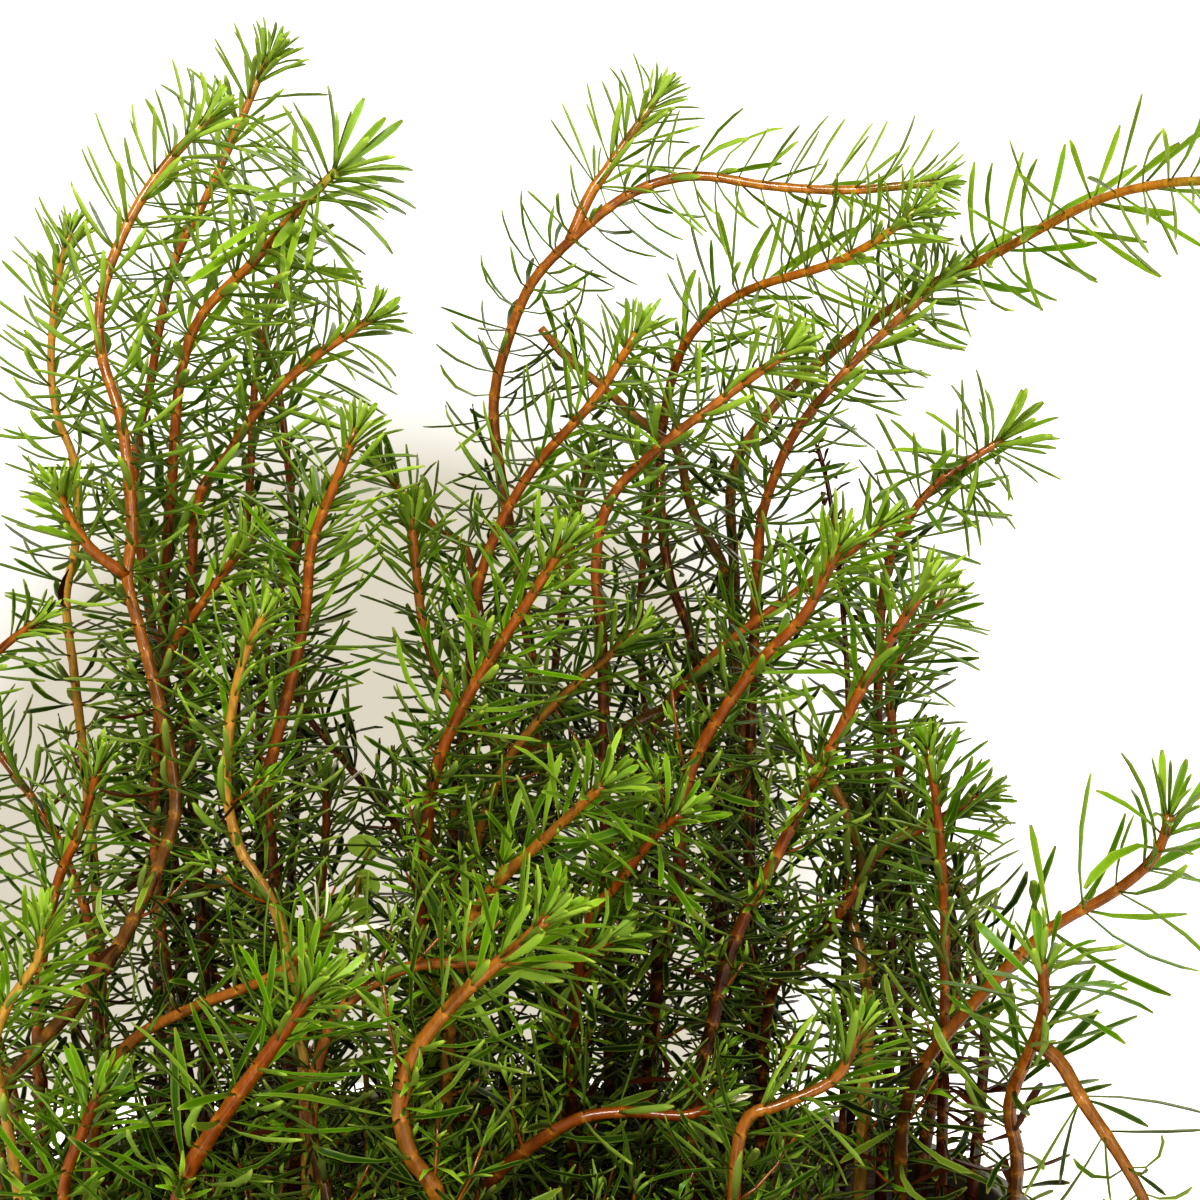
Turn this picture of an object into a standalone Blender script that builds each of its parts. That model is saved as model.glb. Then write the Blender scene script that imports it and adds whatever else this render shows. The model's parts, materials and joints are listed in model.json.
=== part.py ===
"""A potted clump of needle-leaved rotala: a round pot, its soil, and the shoots that grow in it.

Metres, +Z up. The origin is the centre of the pot's underside, and the front view looks along +Y.
Each shoot is one closed solid, a stem with whorls of pointed leaves, rooted at the soil's surface.
"""

import math
import random

import bmesh
import bpy
import numpy as np
from mathutils import Matrix, Vector
from mathutils.bvhtree import BVHTree
from mathutils.kdtree import KDTree

MM = 0.001
SEED = 5

# Pot: a plain turned nursery pot
RIM_DIAMETER = 150 * MM
FOOT_DIAMETER = 112 * MM
POT_HEIGHT = 95 * MM
POT_WALL = 2.4 * MM
POT_FLOOR = 3.0 * MM
LIP_HEIGHT = 9 * MM
LIP_PROUD = 1.6 * MM
EDGE_BREAK = 0.6 * MM
FOOT_BREAK = 1.2 * MM
TURNED_STEPS = 36
MERGE_WITHIN = 0.01 * MM

# Soil: fills the pot to just under the rim, higher in the middle, with uneven lumps
SOIL_EDGE = POT_HEIGHT - 5.0 * MM
SOIL_RISE = 4.0 * MM
SOIL_LUMP = 0.9 * MM
SOIL_WAVES = (9 * MM, 7 * MM, 5 * MM)
SOIL_RINGS = (0, 0.3, 0.55, 0.8, 1.0)
LEVEL_EDGE = 0.95
GAP = 0.3 * MM

# Front view: the eye, and the pixels of a 1200 by 1200 frame that the routes are read in
EYE = (13.4 * MM, -299 * MM, 180.6 * MM)
FRAME_CENTRE = 600
FOCAL_PIXELS = 2120

# Shoots
STEM_SIDES = 4
PATH_SAMPLES = 96
SPAN_STEPS = 24
STEM_CLEARANCE = 1.4 * MM
EASE_ROUNDS = 24
EASE_SPREAD = 9
FORK_REACH = 9 * MM
FORK_HEADING = 6
PARENT_HEADING = 2
TAPER = 0.62
FIRST_SIDE = (0, 1, 0.3)
BARE_FOOT = 9 * MM
TIP_WHORL = 2.2 * MM
CLOSEST_WHORLS = 4.5 * MM
WHORL_OPENING = 2.1
WHORL_WIDTH = 1.4 * MM
WHORL_TURN = math.pi / 8
TURN_PLAY = 0.15
BUD_SHARE = 0.5
LEAF_LEANS = ((4 * MM, 60), (12 * MM, 35), (25 * MM, 18))
LOW_LEAF_LEAN = 5
LEAN_PLAY = 9
LENGTH_PLAY = 0.08
LEAF_SHARES = (1, 0.8, 0.62)
LEAF_CLEARANCE = 0.8 * MM
LEAF_SPHERES = 9
FIRST_SPHERE = 0.1
LEAF_TIP_RADIUS = 0.2 * MM
OWN_STEM_REACH = 6 * MM
STEM = -1
CROWD_ROOM = 40000

# Each shoot: name, stem diameter and leaf length in mm, spacing of its whorls in mm, where it starts,
# the depth of its tip in mm behind the pot's axis, and the pixels its stem passes, from low to high.
# It starts in the soil at (pixel across, depth in mm), or on another shoot at (name, pixel, pixel).
# A pixel may carry a depth of its own, where the stem doesn't lean evenly from foot to tip.
SHOOTS = (
    ("left_arch", 2.4, 9.5, 22, (5, -20), -12,
     (0, 1110), (38, 1047), (97, 979), (138, 910), (173, 825), (172, 765), (157, 695), (137, 620),
     (127, 578), (132, 525), (122, 425), (101, 352), (102, 295), (125, 230), (160, 172), (213, 113)),
    ("left_arch_side", 2.1, 8.5, 12, ("left_arch", 127, 573), -22,
     (110, 564), (90, 548), (72, 522), (57, 490)),
    ("tall_left", 2.2, 9.5, 22, (165, 35), 22,
     (158, 950), (168, 800), (160, 690), (148, 600), (137, 520), (136, 450), (150, 385), (160, 325),
     (176, 258), (205, 200), (237, 130), (260, 75), (272, 52)),
    ("left_crown", 2.3, 10.5, 18, (190, 20), -15,
     (180, 950), (168, 800), (163, 620), (172, 480), (180, 380), (201, 316), (255, 260), (301, 207),
     (337, 170)),
    ("ochre_left", 2.0, 8.5, 22, (110, 25), 12,
     (100, 950), (86, 780), (74, 672), (66, 600), (76, 540), (75, 465), (57, 415), (51, 360),
     (57, 285), (70, 232)),
    ("far_left", 2.1, 8.5, 20, (45, 5), 0,
     (0, 1050), (-45, 920), (-55, 800), (-40, 700), (0, 650), (42, 618)),
    ("left_edge", 2.1, 8.5, 22, (110, 12), 20,
     (97, 1010), (90, 930), (74, 878), (46, 818), (0, 755), (-28, 718), (-40, 690)),
    ("left_low", 2.2, 9, 20, (50, -8), -14,
     (38, 1060), (40, 980), (50, 915), (62, 870), (80, 830), (101, 760)),
    ("back_left_small", 1.9, 8.5, 26, (275, 48), 35,
     (290, 900), (300, 700), (292, 520), (283, 420), (272, 362), (252, 323)),
    ("left_middle", 2.3, 9.5, 22, (210, 12), -5,
     (205, 980), (196, 850), (188, 700), (191, 590), (198, 500), (228, 455), (262, 405), (311, 360),
     (372, 318)),
    ("left_inner", 2.1, 9, 22, (185, 2), -10,
     (172, 1020), (158, 900), (155, 780), (166, 665), (204, 601), (254, 532)),
    ("ochre_middle", 2.2, 9, 18, (310, -12), -22,
     (300, 1020), (276, 912), (241, 851), (228, 800), (228, 745), (240, 670), (265, 612)),
    ("mid_left", 2.4, 10, 18, (295, 0), -18,
     (288, 1000), (273, 866), (266, 790), (278, 734), (304, 622), (312, 545), (337, 479), (357, 428)),
    ("dark_back_left", 2.0, 8.5, 26, (240, 40), 30,
     (238, 900), (236, 720), (243, 580), (250, 480), (256, 375), (275, 293), (291, 243)),
    ("behind_mid_left", 2.0, 8.5, 26, (270, 30), 20,
     (262, 900), (258, 760), (268, 640), (285, 570), (303, 535), (326, 495)),
    ("crossing_back", 2.0, 8.5, 24, (440, 38), 28,
     (432, 1000), (415, 880), (400, 830), (352, 770), (306, 714), (284, 670)),
    ("big_arch", 2.3, 9.5, 17, (560, 36), -5,
     (556, 950), (545, 800), (530, 650), (512, 540), (497, 451), (494, 400), (505, 349), (530, 286),
     (571, 240), (630, 194), (693, 176), (770, 186), (851, 190), (937, 182)),
    ("big_arch_side", 2.1, 9.5, 13, ("big_arch", 572, 239), 5,
     (590, 195), (612, 163), (640, 122), (658, 95)),
    ("arch_leg", 2.3, 8.5, 24, (752, 42), 12,
     (750, 900), (742, 720), (727, 579), (701, 528), (688, 497), (678, 452), (650, 430), (600, 385),
     (565, 356), (541, 328)),
    ("centre_crown", 2.3, 10, 20, (440, 26), -8,
     (445, 950), (456, 800), (468, 690), (476, 600), (494, 538), (533, 469), (594, 400), (637, 333)),
    ("centre_right", 2.3, 9.5, 20, (612, 16), -9,
     (608, 950), (605, 800), (602, 645), (596, 566), (609, 502), (655, 451), (721, 400), (792, 349)),
    ("upper_right", 2.2, 9.5, 18, (722, 32), -10,
     (720, 950), (712, 780), (693, 645), (670, 579), (660, 490), (665, 410, 18), (688, 339),
     (742, 293, 7), (828, 265), (877, 240), (917, 210)),
    ("right_lean", 2.3, 9.5, 18, (765, 26), 4,
     (752, 950), (750, 780), (755, 620), (760, 530), (772, 484), (798, 428), (856, 360), (902, 316),
     (947, 276)),
    ("long_runner", 2.3, 10.5, 17, (715, 45), -30,
     (722, 950), (730, 780), (735, 600), (732, 480), (767, 415), (826, 357, 22), (915, 293, 12),
     (996, 253), (1093, 202), (1160, 184), (1222, 180)),
    ("star_right", 2.2, 9.5, 18, (840, 38), 14,
     (872, 1000), (880, 850), (878, 700), (885, 580), (910, 517), (943, 479), (1001, 440)),
    ("long_diagonal", 2.3, 9.5, 18, (618, 28), 5,
     (622, 980), (628, 850), (640, 765), (665, 708), (706, 663), (752, 624), (820, 575), (886, 522)),
    ("low_branch", 2.2, 9.5, 20, ("long_diagonal", 665, 708), -2,
     (640, 721), (584, 742), (515, 750), (480, 730), (443, 681), (423, 624), (415, 553), (411, 512)),
    ("right_thick", 2.6, 10, 18, (648, 6), -22,
     (650, 1060), (658, 979), (678, 880), (681, 813), (701, 747), (757, 665), (805, 614), (840, 545)),
    ("right_middle", 2.5, 10, 20, (690, -6), -18,
     (696, 1098), (711, 1030), (734, 943), (783, 843), (838, 734), (879, 658), (927, 585)),
    ("behind_right", 2.0, 9, 22, (898, 25), 5,
     (908, 1000), (906, 850), (893, 730), (889, 690), (903, 648), (946, 598)),
    ("small_star", 2.0, 8.5, 22, (940, -3), -20,
     (945, 980), (943, 880), (936, 800), (928, 748)),
    ("low_right", 2.2, 9, 18, (760, 14), -2,
     (768, 1010), (800, 958), (845, 905), (880, 850), (922, 828), (984, 795)),
    ("glossy_stem", 2.4, 8.5, 18, (858, 4), 8,
     (868, 1030), (862, 960), (851, 910), (861, 861), (841, 800), (815, 765), (790, 742)),
    ("right_back_branch", 2.1, 8.5, 20, (968, 3), 6,
     (985, 1040), (976, 950), (966, 902), (935, 856), (905, 822)),
    ("far_right", 2.3, 12, 15, (902, -10), -42,
     (902, 1132), (922, 1068), (966, 1012), (1042, 935), (1114, 892), (1155, 856), (1170, 815)),
    ("front_right", 2.4, 12.5, 14, (1000, -18), -60,
     (1017, 1170), (1010, 1116), (1014, 1088), (1042, 1019), (1043, 962)),
    ("front_right_trailer", 2.2, 10, 13, ("front_right", 1034, 1040), -58,
     (1060, 1062), (1083, 1101), (1119, 1155), (1144, 1200), (1156, 1238)),
    ("front_low_right", 2.3, 10, 16, (738, -38), -42,
     (734, 1200), (745, 1122), (783, 1104), (838, 1076), (860, 1026)),
    ("front_creeper", 2.4, 10, 15, (468, -24), -30,
     (484, 1193), (517, 1157), (573, 1121), (624, 1112), (681, 1116), (716, 1106)),
    ("front_s_curve", 2.8, 11, 15, (455, -42), -55,
     (438, 1200), (410, 1155), (400, 1098), (420, 1045), (466, 991), (520, 945), (550, 915)),
    ("long_low_left", 2.3, 10, 18, (340, -30), -22,
     (327, 1200), (309, 1119), (316, 1070), (342, 1009), (398, 971), (451, 963), (528, 966),
     (579, 956), (614, 937)),
    ("low_left_runner", 2.3, 9.5, 18, (85, -12), -28,
     (97, 1111), (128, 1045), (194, 1007), (278, 973), (332, 918)),
    ("front_left_thick", 2.9, 12, 15, (165, -42), -58,
     (179, 1200), (209, 1137), (265, 1058), (314, 988)),
    ("front_far_left", 2.3, 10, 14, (72, -36), -48,
     (64, 1193), (84, 1129), (98, 1093)),
    ("pale_left", 2.0, 9.5, 16, (38, -30), -42,
     (5, 1110), (-6, 1050), (8, 1005), (36, 963), (43, 928)),
    ("low_upright", 2.1, 9, 22, (325, 16), 6,
     (322, 980), (321, 902), (326, 831), (326, 783)),
    ("centre_front", 2.4, 10, 20, (430, 4), -28,
     (422, 1060), (421, 945), (431, 795), (459, 714), (505, 637), (538, 586), (565, 542)),
    ("centre_small", 2.0, 9, 20, (462, 12), -4,
     (464, 960), (472, 870), (487, 808), (515, 749), (563, 696), (604, 660), (638, 630)),
    ("centre_low", 2.4, 10, 18, (445, -4), -34,
     (448, 1050), (466, 940), (492, 889), (551, 833), (603, 785)),
    ("centre_low_right", 2.2, 9.5, 18, (572, 0), -26,
     (574, 1020), (591, 920), (617, 884), (655, 836), (681, 813)),
    ("back_leaning_left", 2.1, 8.5, 26, (505, 44), 30,
     (502, 900), (492, 720), (470, 560), (437, 530), (400, 490), (378, 462)),
    ("back_upright", 2.0, 8.5, 26, (548, 52), 40,
     (550, 900), (553, 700), (565, 590), (580, 500), (592, 452)),
    ("back_centre", 2.0, 8.5, 26, (655, 52), 42,
     (655, 900), (650, 760), (640, 640), (645, 540), (655, 478)),
    ("bare_twig", 1.3, 5, 30, (842, 26), 22,
     (845, 900), (848, 700), (838, 560), (828, 487), (817, 445)),
    ("back_right_dark", 2.0, 8.5, 24, (880, 20), 18,
     (893, 1000), (888, 900), (876, 830), (858, 785)),
    ("right_dark_stem", 2.6, 8.5, 24, (918, 13), 16,
     (930, 1110), (950, 1030), (956, 960), (948, 900), (930, 858)),
    ("left_dark_low", 2.0, 8.5, 24, (200, 26), 20,
     (205, 1000), (207, 933), (196, 879), (179, 846), (157, 812), (135, 795)),
)

# Seedling: a small round-leaved plant that came up beside the shoots
SEEDLING_FOOT = (368, 14)
SEEDLING_DEPTH = 8
SEEDLING_STEM = ((364, 1000), (356, 930), (357, 890), (362, 868), (370, 848))
SEEDLING_LEAVES = ((364, 846, 34, 24, 10), (368, 882, 33, 30, -35), (361, 908, 28, 24, 30))
SEEDLING_LEAF_THICKNESS = 0.7 * MM
SEEDLING_RADIUS = 0.7 * MM
SEEDLING_RINGS = 7
ROUND_LEAF_SIDES = 10
ROUND_LEAF_BANDS = 4

# Finishes: colour and roughness
FINISHES = {
    "pot": ((0.035, 0.032, 0.030, 1), 0.5),
    "soil": ((0.020, 0.012, 0.007, 1), 0.95),
    "stem": ((0.33, 0.10, 0.02, 1), 0.35),
    "leaf": ((0.10, 0.28, 0.02, 1), 0.5),
}


def clear_scene():
    for item in list(bpy.data.objects):
        bpy.data.objects.remove(item)


def material(name):
    colour, roughness = FINISHES[name]
    made = bpy.data.materials.new(name)
    made.use_nodes = True
    shader = made.node_tree.nodes["Principled BSDF"]
    shader.inputs["Base Color"].default_value = colour
    shader.inputs["Roughness"].default_value = roughness
    return made


def add_object(name, mesh, collection, *finishes):
    item = bpy.data.objects.new(name, mesh)
    for finish in finishes:
        mesh.materials.append(finish)
    collection.objects.link(item)
    return item


def turned(name, profile, collection, finish):
    """A solid turned about Z from (radius, height) points that run inside first, down the outside last."""
    mesh = bpy.data.meshes.new(name)
    points = [(radius, 0, height) for radius, height in profile]
    mesh.from_pydata(points, [(i, i + 1) for i in range(len(points) - 1)], [])
    item = add_object(name, mesh, collection, finish)
    screw = item.modifiers.new("Turn", "SCREW")
    screw.steps = TURNED_STEPS
    screw.render_steps = TURNED_STEPS
    screw.use_merge_vertices = True
    screw.merge_threshold = MERGE_WITHIN
    return item


def outer_radius(height):
    """Radius of the pot's outer wall, without its lip, at a height."""
    share = height / POT_HEIGHT
    foot = FOOT_DIAMETER / 2
    top = RIM_DIAMETER / 2 - LIP_PROUD
    return foot + (top - foot) * share


def add_pot(collection, finish):
    rim = RIM_DIAMETER / 2
    inner_rim = rim - LIP_PROUD - POT_WALL
    lip_foot = POT_HEIGHT - LIP_HEIGHT
    profile = (
        (0, POT_FLOOR),
        (outer_radius(POT_FLOOR) - POT_WALL, POT_FLOOR),
        (inner_rim, POT_HEIGHT),
        (rim - EDGE_BREAK, POT_HEIGHT),
        (rim, POT_HEIGHT - EDGE_BREAK),
        (rim - EDGE_BREAK, lip_foot),
        (outer_radius(lip_foot), lip_foot - EDGE_BREAK),
        (FOOT_DIAMETER / 2, FOOT_BREAK),
        (FOOT_DIAMETER / 2 - FOOT_BREAK, 0),
        (0, 0),
    )
    return turned("pot", profile, collection, finish)


def inner_radius(height):
    """Radius of the pot's inner wall at a height."""
    foot = outer_radius(POT_FLOOR) - POT_WALL
    top = RIM_DIAMETER / 2 - LIP_PROUD - POT_WALL
    return foot + (top - foot) * (height - POT_FLOOR) / (POT_HEIGHT - POT_FLOOR)


def lump(x, y):
    """Uneven height of the soil, from three slow waves."""
    long, middle, short = SOIL_WAVES
    return SOIL_LUMP * (math.sin(x / long) + math.cos(y / middle) + math.sin((x + y) / short)) / 3


def add_soil(collection, finish):
    edge = inner_radius(SOIL_EDGE) - GAP
    floor = POT_FLOOR + GAP
    surface = [(edge * share, SOIL_EDGE + SOIL_RISE * (1 - share * share)) for share in SOIL_RINGS]
    item = turned("soil", [*surface, (inner_radius(floor) - GAP, floor), (0, floor)], collection, finish)
    graph = bpy.context.evaluated_depsgraph_get()
    mesh = bpy.data.meshes.new_from_object(item.evaluated_get(graph))
    item.modifiers.clear()
    item.data = mesh
    for point in mesh.vertices:
        away = math.hypot(point.co.x, point.co.y) / edge
        if point.co.z > SOIL_EDGE - GAP and away < LEVEL_EDGE:
            point.co.z += lump(point.co.x, point.co.y)
    return item


def surface_tree(*items):
    """One search tree over the evaluated faces of several objects."""
    joined = bmesh.new()
    graph = bpy.context.evaluated_depsgraph_get()
    for item in items:
        joined.from_mesh(item.evaluated_get(graph).to_mesh())
    tree = BVHTree.FromBMesh(joined)
    joined.free()
    return tree


def seen_at(across, down, depth):
    """The point that the front view shows at a pixel, on the plane that lies at a depth."""
    scale = (depth - EYE[1]) / FOCAL_PIXELS
    x = EYE[0] + (across - FRAME_CENTRE) * scale
    return np.array((x, depth, EYE[2] - (down - FRAME_CENTRE) * scale))


def soil_point(across, depth):
    """Where the soil's smooth surface lies at a pixel across and a depth."""
    x = seen_at(across, 0, depth)[0]
    away = math.hypot(x, depth) / (inner_radius(SOIL_EDGE) - GAP)
    return np.array((x, depth, SOIL_EDGE + SOIL_RISE * (1 - away * away) + GAP))


def with_depths(start_pixel, start_depth, tip_depth, pixels):
    """Depths along a route: even from foot to tip by length in pixels, or through depths that it gives."""
    route = [start_pixel, *pixels]
    steps = [math.dist(a[:2], b[:2]) for a, b in zip(route, route[1:])]
    along = np.concatenate(([0], np.cumsum(steps)))
    anchors = [(0, start_depth)]
    anchors += [(along[i], p[2] * MM) for i, p in enumerate(route) if i and len(p) == 3]
    anchors.append((along[-1], tip_depth))
    depths = np.interp(along, *zip(*anchors))
    return [seen_at(p[0], p[1], depth) for p, depth in zip(route, depths)]


def smooth_path(points):
    """A rounded line through the points, as evenly spaced samples."""
    knots = np.array(points)
    padded = np.vstack((2 * knots[0] - knots[1], knots, 2 * knots[-1] - knots[-2]))
    fine = []
    for a, b, c, d in zip(padded, padded[1:], padded[2:], padded[3:]):
        for t in np.linspace(0, 1, SPAN_STEPS, endpoint=False):
            curve = 2 * b + (c - a) * t
            curve += (2 * a - 5 * b + 4 * c - d) * t**2 + (3 * b - a - 3 * c + d) * t**3
            fine.append(curve / 2)
    fine.append(knots[-1])
    return resample(np.array(fine), PATH_SAMPLES)


def resample(line, count):
    along = np.concatenate(([0], np.cumsum(np.linalg.norm(np.diff(line, axis=0), axis=1))))
    even = np.linspace(0, along[-1], count)
    return np.column_stack([np.interp(even, along, line[:, axis]) for axis in range(3)])


def nearest_index(path, across, down):
    """The sample of a path that the front view shows nearest to a pixel."""
    scale = FOCAL_PIXELS / (path[:, 1] - EYE[1])
    seen_across = FRAME_CENTRE + (path[:, 0] - EYE[0]) * scale
    seen_down = FRAME_CENTRE - (path[:, 2] - EYE[2]) * scale
    return int(np.argmin(np.hypot(seen_across - across, seen_down - down)))


def lay_routes():
    """The centre line of every shoot before neighbours are eased apart, and each branch's fork."""
    paths, forks = {}, {}
    for name, _, _, _, start, tip_depth, *pixels in SHOOTS:
        if isinstance(start[0], str):
            parent, across, down = start
            place = nearest_index(paths[parent], across, down)
            forks[name] = (parent, place)
            foot = paths[parent][place]
            route = with_depths((across, down), foot[1], tip_depth * MM, pixels)
            route[0] = foot
        else:
            foot = soil_point(start[0], start[1] * MM)
            down = FRAME_CENTRE - (foot[2] - EYE[2]) * FOCAL_PIXELS / (foot[1] - EYE[1])
            route = with_depths((start[0], down), foot[1], tip_depth * MM, pixels)
            route[0] = foot
        paths[name] = smooth_path(route)
    forks["arch_leg"] = ("big_arch", None)
    return paths, forks


def touching(paths, radii, forks):
    """Pairs of samples on different stems that lie closer than the stems may."""
    names = list(paths)
    tree = KDTree(len(names) * PATH_SAMPLES)
    for i, name in enumerate(names):
        for k, point in enumerate(paths[name]):
            tree.insert(point, i * PATH_SAMPLES + k)
    tree.balance()
    reach = 2 * max(radii.values()) + STEM_CLEARANCE
    for i, name in enumerate(names):
        for k, point in enumerate(paths[name]):
            for other, index, away in tree.find_range(point, reach):
                j, m = divmod(index, PATH_SAMPLES)
                need = radii[name] + radii[names[j]] + STEM_CLEARANCE
                if j > i and away < need and not at_fork(name, names[j], point, other, paths, forks):
                    yield name, k, names[j], m, need - away


def at_fork(first, second, point, other, paths, forks):
    """Whether two samples are a branch and its parent, close to the fork."""
    for branch, parent, spot in ((first, second, point), (second, first, other)):
        if branch in forks and forks[branch][0] == parent:
            end = paths[branch][-1] if forks[branch][1] is None else paths[branch][0]
            return math.dist(end, spot) < FORK_REACH
    return False


def ease_apart(paths, radii, forks):
    """Move stems that would touch apart in depth, each keeping its place across the front view."""
    in_front = {}
    window = np.hanning(2 * EASE_SPREAD + 1)
    for _ in range(EASE_ROUNDS):
        push = {name: np.zeros(PATH_SAMPLES) for name in paths}
        for first, k, second, m, short in touching(paths, radii, forks):
            behind = paths[first][k][1] >= paths[second][m][1]
            side = in_front.setdefault((first, second), 1 if behind else -1)
            push[first][k] += side * short / 2
            push[second][m] -= side * short / 2
        if not any(move.any() for move in push.values()):
            break
        for name, move in push.items():
            spread = np.convolve(move, window, mode="same")
            top = np.abs(spread).max()
            if top > 0:
                spread *= np.abs(move).max() / top
            across, depth = paths[name][:, 0], paths[name][:, 1]
            paths[name][:, 0] = EYE[0] + (across - EYE[0]) * (depth + spread - EYE[1]) / (depth - EYE[1])
            paths[name][:, 1] = depth + spread
    for branch, (parent, place) in forks.items():
        if place is not None:
            fade = np.clip(1 - np.linspace(0, 2, PATH_SAMPLES), 0, 1)[:, None] ** 2
            paths[branch] += (paths[parent][place] - paths[branch][0]) * fade


def start_clear_of_parent(path, parent, place, reach, own):
    """The branch's path, cut so that its flat end stays a small gap away from its parent's side."""
    above = min(place + PARENT_HEADING, PATH_SAMPLES - 1)
    along = parent[above] - parent[max(place - PARENT_HEADING, 0)]
    along /= np.linalg.norm(along)
    out = path[FORK_HEADING] - path[0]
    out /= np.linalg.norm(out)
    slant = abs(float(out @ along))
    rise = math.sqrt(1 - slant * slant)
    setback = (reach + GAP + own * slant) / rise
    kept = path[np.linalg.norm(path - path[0], axis=1) > setback]
    return resample(kept, PATH_SAMPLES)


def stem_radius(base, share):
    """The stem thins towards its tip, most of it near the end."""
    return base * (1 - (1 - TAPER) * share**3)


def frames_along(path):
    """Tangents and steady side directions at each sample of a path."""
    tangents = np.gradient(path, axis=0)
    tangents /= np.linalg.norm(tangents, axis=1)[:, None]
    side = np.cross(tangents[0], FIRST_SIDE)
    sides = []
    for tangent in tangents:
        side = side - tangent * (side @ tangent)
        side /= np.linalg.norm(side)
        sides.append(side)
    return tangents, np.array(sides)


class Crowd:
    """Round samples of every stem and leaf so far, against which the next leaf is tried."""

    def __init__(self, room):
        self.points = np.zeros((room, 3))
        self.radii = np.zeros(room)
        self.shoots = np.zeros(room, dtype=int)
        self.whorls = np.zeros(room, dtype=int)
        self.count = 0

    def add(self, points, radii, shoot, whorl):
        added = slice(self.count, self.count + len(points))
        self.points[added] = points
        self.radii[added] = radii
        self.shoots[added] = shoot
        self.whorls[added] = whorl
        self.count += len(points)

    def free(self, points, radii, root, shoot, whorl):
        """Whether a leaf's round samples keep clear of all but its own whorl and its stem at the root."""
        places = self.points[:self.count]
        own = self.shoots[:self.count] == shoot
        close = np.linalg.norm(places - root, axis=1) < OWN_STEM_REACH
        stem = self.whorls[:self.count] == STEM
        others = ~(own & ((self.whorls[:self.count] == whorl) | (stem & close)))
        places = places[others]
        reach = self.radii[:self.count][others] + LEAF_CLEARANCE
        return all(
            (np.linalg.norm(places - point, axis=1) > reach + radius).all()
            for point, radius in zip(points, radii)
        )


class Line:
    """A shoot's centre line, read at a distance from its foot."""

    def __init__(self, path, radius):
        self.path = path
        self.radius = radius
        self.along = np.concatenate(([0], np.cumsum(np.linalg.norm(np.diff(path, axis=0), axis=1))))
        self.length = self.along[-1]
        self.tangents, self.sides = frames_along(path)

    def at(self, distance):
        centre = np.array([np.interp(distance, self.along, self.path[:, axis]) for axis in range(3)])
        index = min(int(np.searchsorted(self.along, distance)), PATH_SAMPLES - 1)
        return centre, self.tangents[index], self.sides[index]

    def ring(self, distance, turn):
        """Corners of the stem's section at a distance, turned about the stem."""
        centre, tangent, side = self.at(distance)
        across = np.cross(tangent, side)
        radius = stem_radius(self.radius, distance / self.length)
        angles = [turn + 2 * math.pi * step / STEM_SIDES for step in range(STEM_SIDES)]
        return [centre + radius * (math.cos(a) * side + math.sin(a) * across) for a in angles]


def whorl_places(length, spacing):
    """Distances from the foot to a shoot's whorls, closer together near its tip."""
    places = []
    place = length - TIP_WHORL
    step = CLOSEST_WHORLS
    while place > BARE_FOOT:
        places.append(place)
        place -= step
        step = min(step * WHORL_OPENING, spacing)
    return places[::-1]


def leaf_spheres(root, tip):
    """Round samples along a leaf, thinning to its tip."""
    shares = np.linspace(FIRST_SPHERE, 1, LEAF_SPHERES)
    radii = WHORL_WIDTH / 2 * (1 - shares) + LEAF_TIP_RADIUS
    return root + (tip - root) * shares[:, None], radii


def rest_on(corners, ground):
    """The corners set level, a small gap above the highest soil under them."""
    hits = [ground.ray_cast(Vector((*corner[:2], 1)), Vector((0, 0, -1)))[0].z for corner in corners]
    return [np.array((*corner[:2], max(hits) + GAP)) for corner in corners]


def begin_stem(line, rooted, ground):
    """A new shape that holds the stem's end face at its foot."""
    shape = bmesh.new()
    bmesh.ops.create_circle(shape, cap_ends=True, segments=STEM_SIDES, radius=line.radius)
    shape.faces.ensure_lookup_table()
    cap = shape.faces[0]
    corners = line.ring(0, 0)
    for vertex, corner in zip(cap.verts, rest_on(corners, ground) if rooted else corners):
        vertex.co = corner
    return shape, cap


def extrude_ring(shape, cap, corners):
    """Extrude the end face to new corners; gives the new end face and the band of faces behind it."""
    grown = bmesh.ops.extrude_face_region(shape, geom=[cap])
    if all(len(edge.link_faces) > 2 for edge in cap.edges):
        shape.faces.remove(cap)
    cap = next(item for item in grown["geom"] if isinstance(item, bmesh.types.BMFace))
    for vertex, corner in zip(cap.verts, corners):
        vertex.co = corner
    band = [face for edge in cap.edges for face in edge.link_faces if face is not cap]
    return cap, band


def leaf_lean(short_of_tip):
    """How far a leaf leans forward along its stem: erect at the tip, nearly square to it lower down."""
    for limit, lean in LEAF_LEANS:
        if short_of_tip < limit:
            return math.radians(lean)
    return math.radians(LOW_LEAF_LEAN)


def bud_tip(line, leaf_length):
    centre, tangent, _ = line.at(line.length)
    return centre + tangent * leaf_length * BUD_SHARE


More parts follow.
